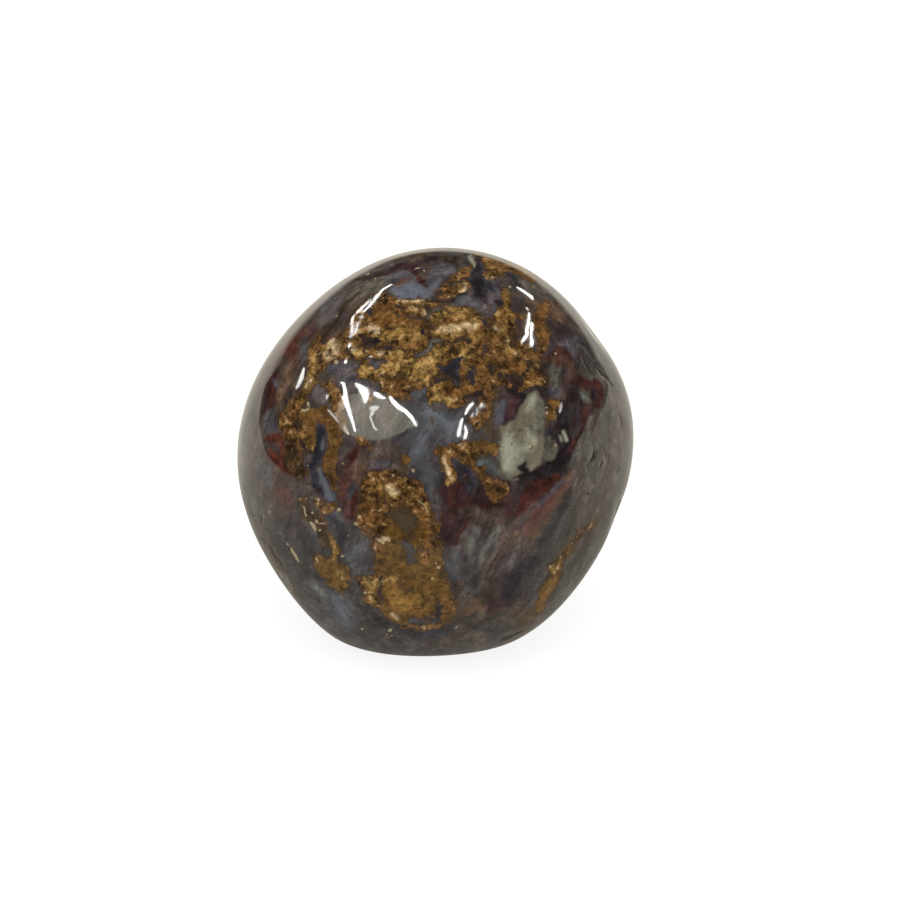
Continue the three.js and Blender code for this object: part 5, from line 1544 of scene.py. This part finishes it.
class StageSettings(bpy.types.PropertyGroup):
    """Floor, lights and camera."""

    floor_half: length("Floor half size", "Half size of the floor", 800)
    floor_glow: number("Floor glow", "Light given off by the floor", 0.85)
    floor_mirrored: number("Mirrored floor light", "Brightness of the mirrored floor", 0.9)
    # share of the mirrored floor's glow left in the stone's painted shadow beside it
    floor_shadow: number("Mirrored shadow", "Share of light by the stone", 0.5, min=0, max=1)
    floor_far: number("Mirrored distance", "Share of light on the far floor and wall", 1.2)
    floor_right: number("Mirrored right side", "Share of light on the right", 0.8, min=0, max=1)
    floor_front: number("Mirrored front", "Share of light on the floor in front", 0.45, min=0, max=1)
    mirrored_tint: colour("Mirrored tint", "Colour of the floor and wall in the polish", 1.0, 0.94, 0.8)
    wall_height: length("Mirrored wall", "Height of the pale wall that the polish mirrors", 160)
    room_light: number("Room light", "Brightness of the surroundings", 0.8)
    room_mirrored: number("Mirrored room", "Brightness of the room in the polish", 0.04)
    key_power: number("Key light", "Power of the soft light overhead", 1.1, unit="POWER")
    key_size: length("Key light size", "Side of the soft light overhead", 300)
    key_height: length("Key light height", "Height of the soft light overhead", 500)
    key_forward: length("Key light forward", "How far in front of the stone the soft light hangs", 50)
    strip_power: number("Strip lights", "Brightness of the strip lights", 30)
    faint_power: number("Faint lights", "Brightness of the faint lights", 14)
    panel_power: number("Soft panel", "Brightness of the soft panel", 2.3)
    light_reach: length("Strip light distance", "How far from the stone the mirrored lights are", 550)
    view_width: length("View width", "Width of what the camera sees at the stone", 67.5)


# The stone stands a little left of and below the picture's middle, in parts of the picture's width
CAMERA_SHIFT = (14 / 900, 2 / 900)


class OBJECT_OT_pietersite_stone(bpy.types.Operator):
    """Build the polished stone with its markings"""

    bl_idname = "object.pietersite_stone"
    bl_label = "Stone"

    def execute(self, context):
        form = context.scene.pietersite_form
        settings = context.scene.pietersite_colours
        colours = {name: np.array(getattr(settings, name)) for name in StoneColours.__annotations__}
        directions, faces = cube_ball(form.fineness, FRONT_PULL)
        own = directions * skin_radius(directions, form)[:, None]
        painted = paint_stone(own, colours, form)
        painted["flow_place"] = flow_places(own) * MM
        own = own + directions * polish_relief(own, painted, form)[:, None]
        room, centre = rest_in_place(own, form)
        context.scene["pietersite_centre"] = centre.tolist()
        stone = new_object("polished_stone", room, faces)
        for name, values in painted.items():
            store(stone.data, name, values)
        weld(stone.data, WELD_GAP * MM)
        stone.data.shade_smooth()
        stone.data.materials.append(stone_material({name: tuple(values) for name, values in colours.items()}))
        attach(stone, "root")
        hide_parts(NODE)
        return {"FINISHED"}


class OBJECT_OT_pietersite_stage(bpy.types.Operator):
    """Set the pale floor, the lights and the camera"""

    bl_idname = "object.pietersite_stage"
    bl_label = "Stage"

    def execute(self, context):
        scene = context.scene
        form, settings = scene.pietersite_form, scene.pietersite_stage
        centre = np.array(scene["pietersite_centre"])
        half = settings.floor_half / MM
        floor = flat_sheet("floor", ((-half, -half, 0), (half, -half, 0), (half, half, 0), (-half, half, 0)))
        floor.data.materials.append(floor_material(settings))
        floor.visible_glossy = False
        top = settings.wall_height / MM
        edge = [(x, y, 0) for x, y in MIRRORED_EDGE]
        mirrored = flat_sheet("mirrored_floor", ((-half, half, 0), *edge, (half, half, 0)))
        mirrored.data.materials.append(mirrored_floor_material(settings))
        only_mirrored(mirrored)
        wall = flat_sheet("mirrored_wall", ((-half, half, 0), (half, half, 0), (half, half, top),
                                            (-half, half, top)))
        wall.data.materials.append(mirrored_wall_material(settings))
        only_mirrored(wall)

        reach = settings.light_reach / MM
        far = PANEL_DISTANCE * reach
        mirrored_lights("strip_lights", STRIP_LIGHTS, WHITE, settings.strip_power, reach, form, centre)
        mirrored_lights("faint_lights", FAINT_LIGHTS, WHITE, settings.faint_power, reach, form, centre)
        mirrored_lights("soft_panel", SOFT_PANELS, PALE_OLIVE, settings.panel_power, far, form, centre)

        key = bpy.data.lights.new("key", "AREA")
        key.size = settings.key_size
        key.energy = settings.key_power
        key_light = bpy.data.objects.new("key", key)
        key_light.location = (0, -settings.key_forward, settings.key_height)
        key_light.visible_glossy = False
        scene.collection.objects.link(key_light)
        set_world(settings)

        camera = bpy.data.cameras.new("camera")
        eye = bpy.data.objects.new("camera", camera)
        toward = Vector((0, -math.cos(form.lean), math.sin(form.lean)))
        eye.location = Vector(centre * MM) + toward * form.sight_distance
        eye.rotation_euler = toward.to_track_quat("Z", "Y").to_euler()
        camera.lens = camera.sensor_width * form.sight_distance / settings.view_width
        camera.shift_x, camera.shift_y = CAMERA_SHIFT
        camera.clip_start = MM
        scene.collection.objects.link(eye)
        scene.camera = eye
        scene.view_settings.view_transform = "Standard"
        return {"FINISHED"}


class VIEW3D_PT_pietersite(bpy.types.Panel):
    """Buttons for the stone and its stage"""

    bl_label = "Tumbled pietersite"
    bl_idname = "VIEW3D_PT_pietersite"
    bl_space_type = "VIEW_3D"
    bl_region_type = "UI"
    bl_category = "Pietersite"

    def draw(self, context):
        """Lists the buttons and the settings."""
        for operator in (OBJECT_OT_pietersite_stone, OBJECT_OT_pietersite_stage):
            self.layout.operator(operator.bl_idname)
        for settings in (context.scene.pietersite_form, context.scene.pietersite_stage):
            column = self.layout.column()
            for name in settings.__annotations__:
                column.prop(settings, name)


CLASSES = (StoneForm, StoneColours, StageSettings, OBJECT_OT_pietersite_stone, OBJECT_OT_pietersite_stage,
           VIEW3D_PT_pietersite)


def register():
    """Adds the settings, the operators and the panel to Blender."""
    for cls in CLASSES:
        bpy.utils.register_class(cls)
    bpy.types.Scene.pietersite_form = PointerProperty(type=StoneForm)
    bpy.types.Scene.pietersite_colours = PointerProperty(type=StoneColours)
    bpy.types.Scene.pietersite_stage = PointerProperty(type=StageSettings)


def unregister():
    """Takes the settings, the operators and the panel away again."""
    del bpy.types.Scene.pietersite_form
    del bpy.types.Scene.pietersite_colours
    del bpy.types.Scene.pietersite_stage
    for cls in reversed(CLASSES):
        bpy.utils.unregister_class(cls)


def main():
    """Builds everything."""
    register()
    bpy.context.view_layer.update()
    bpy.ops.object.pietersite_stone()
    bpy.ops.object.pietersite_stage()


if __name__ == "__main__":
    main()
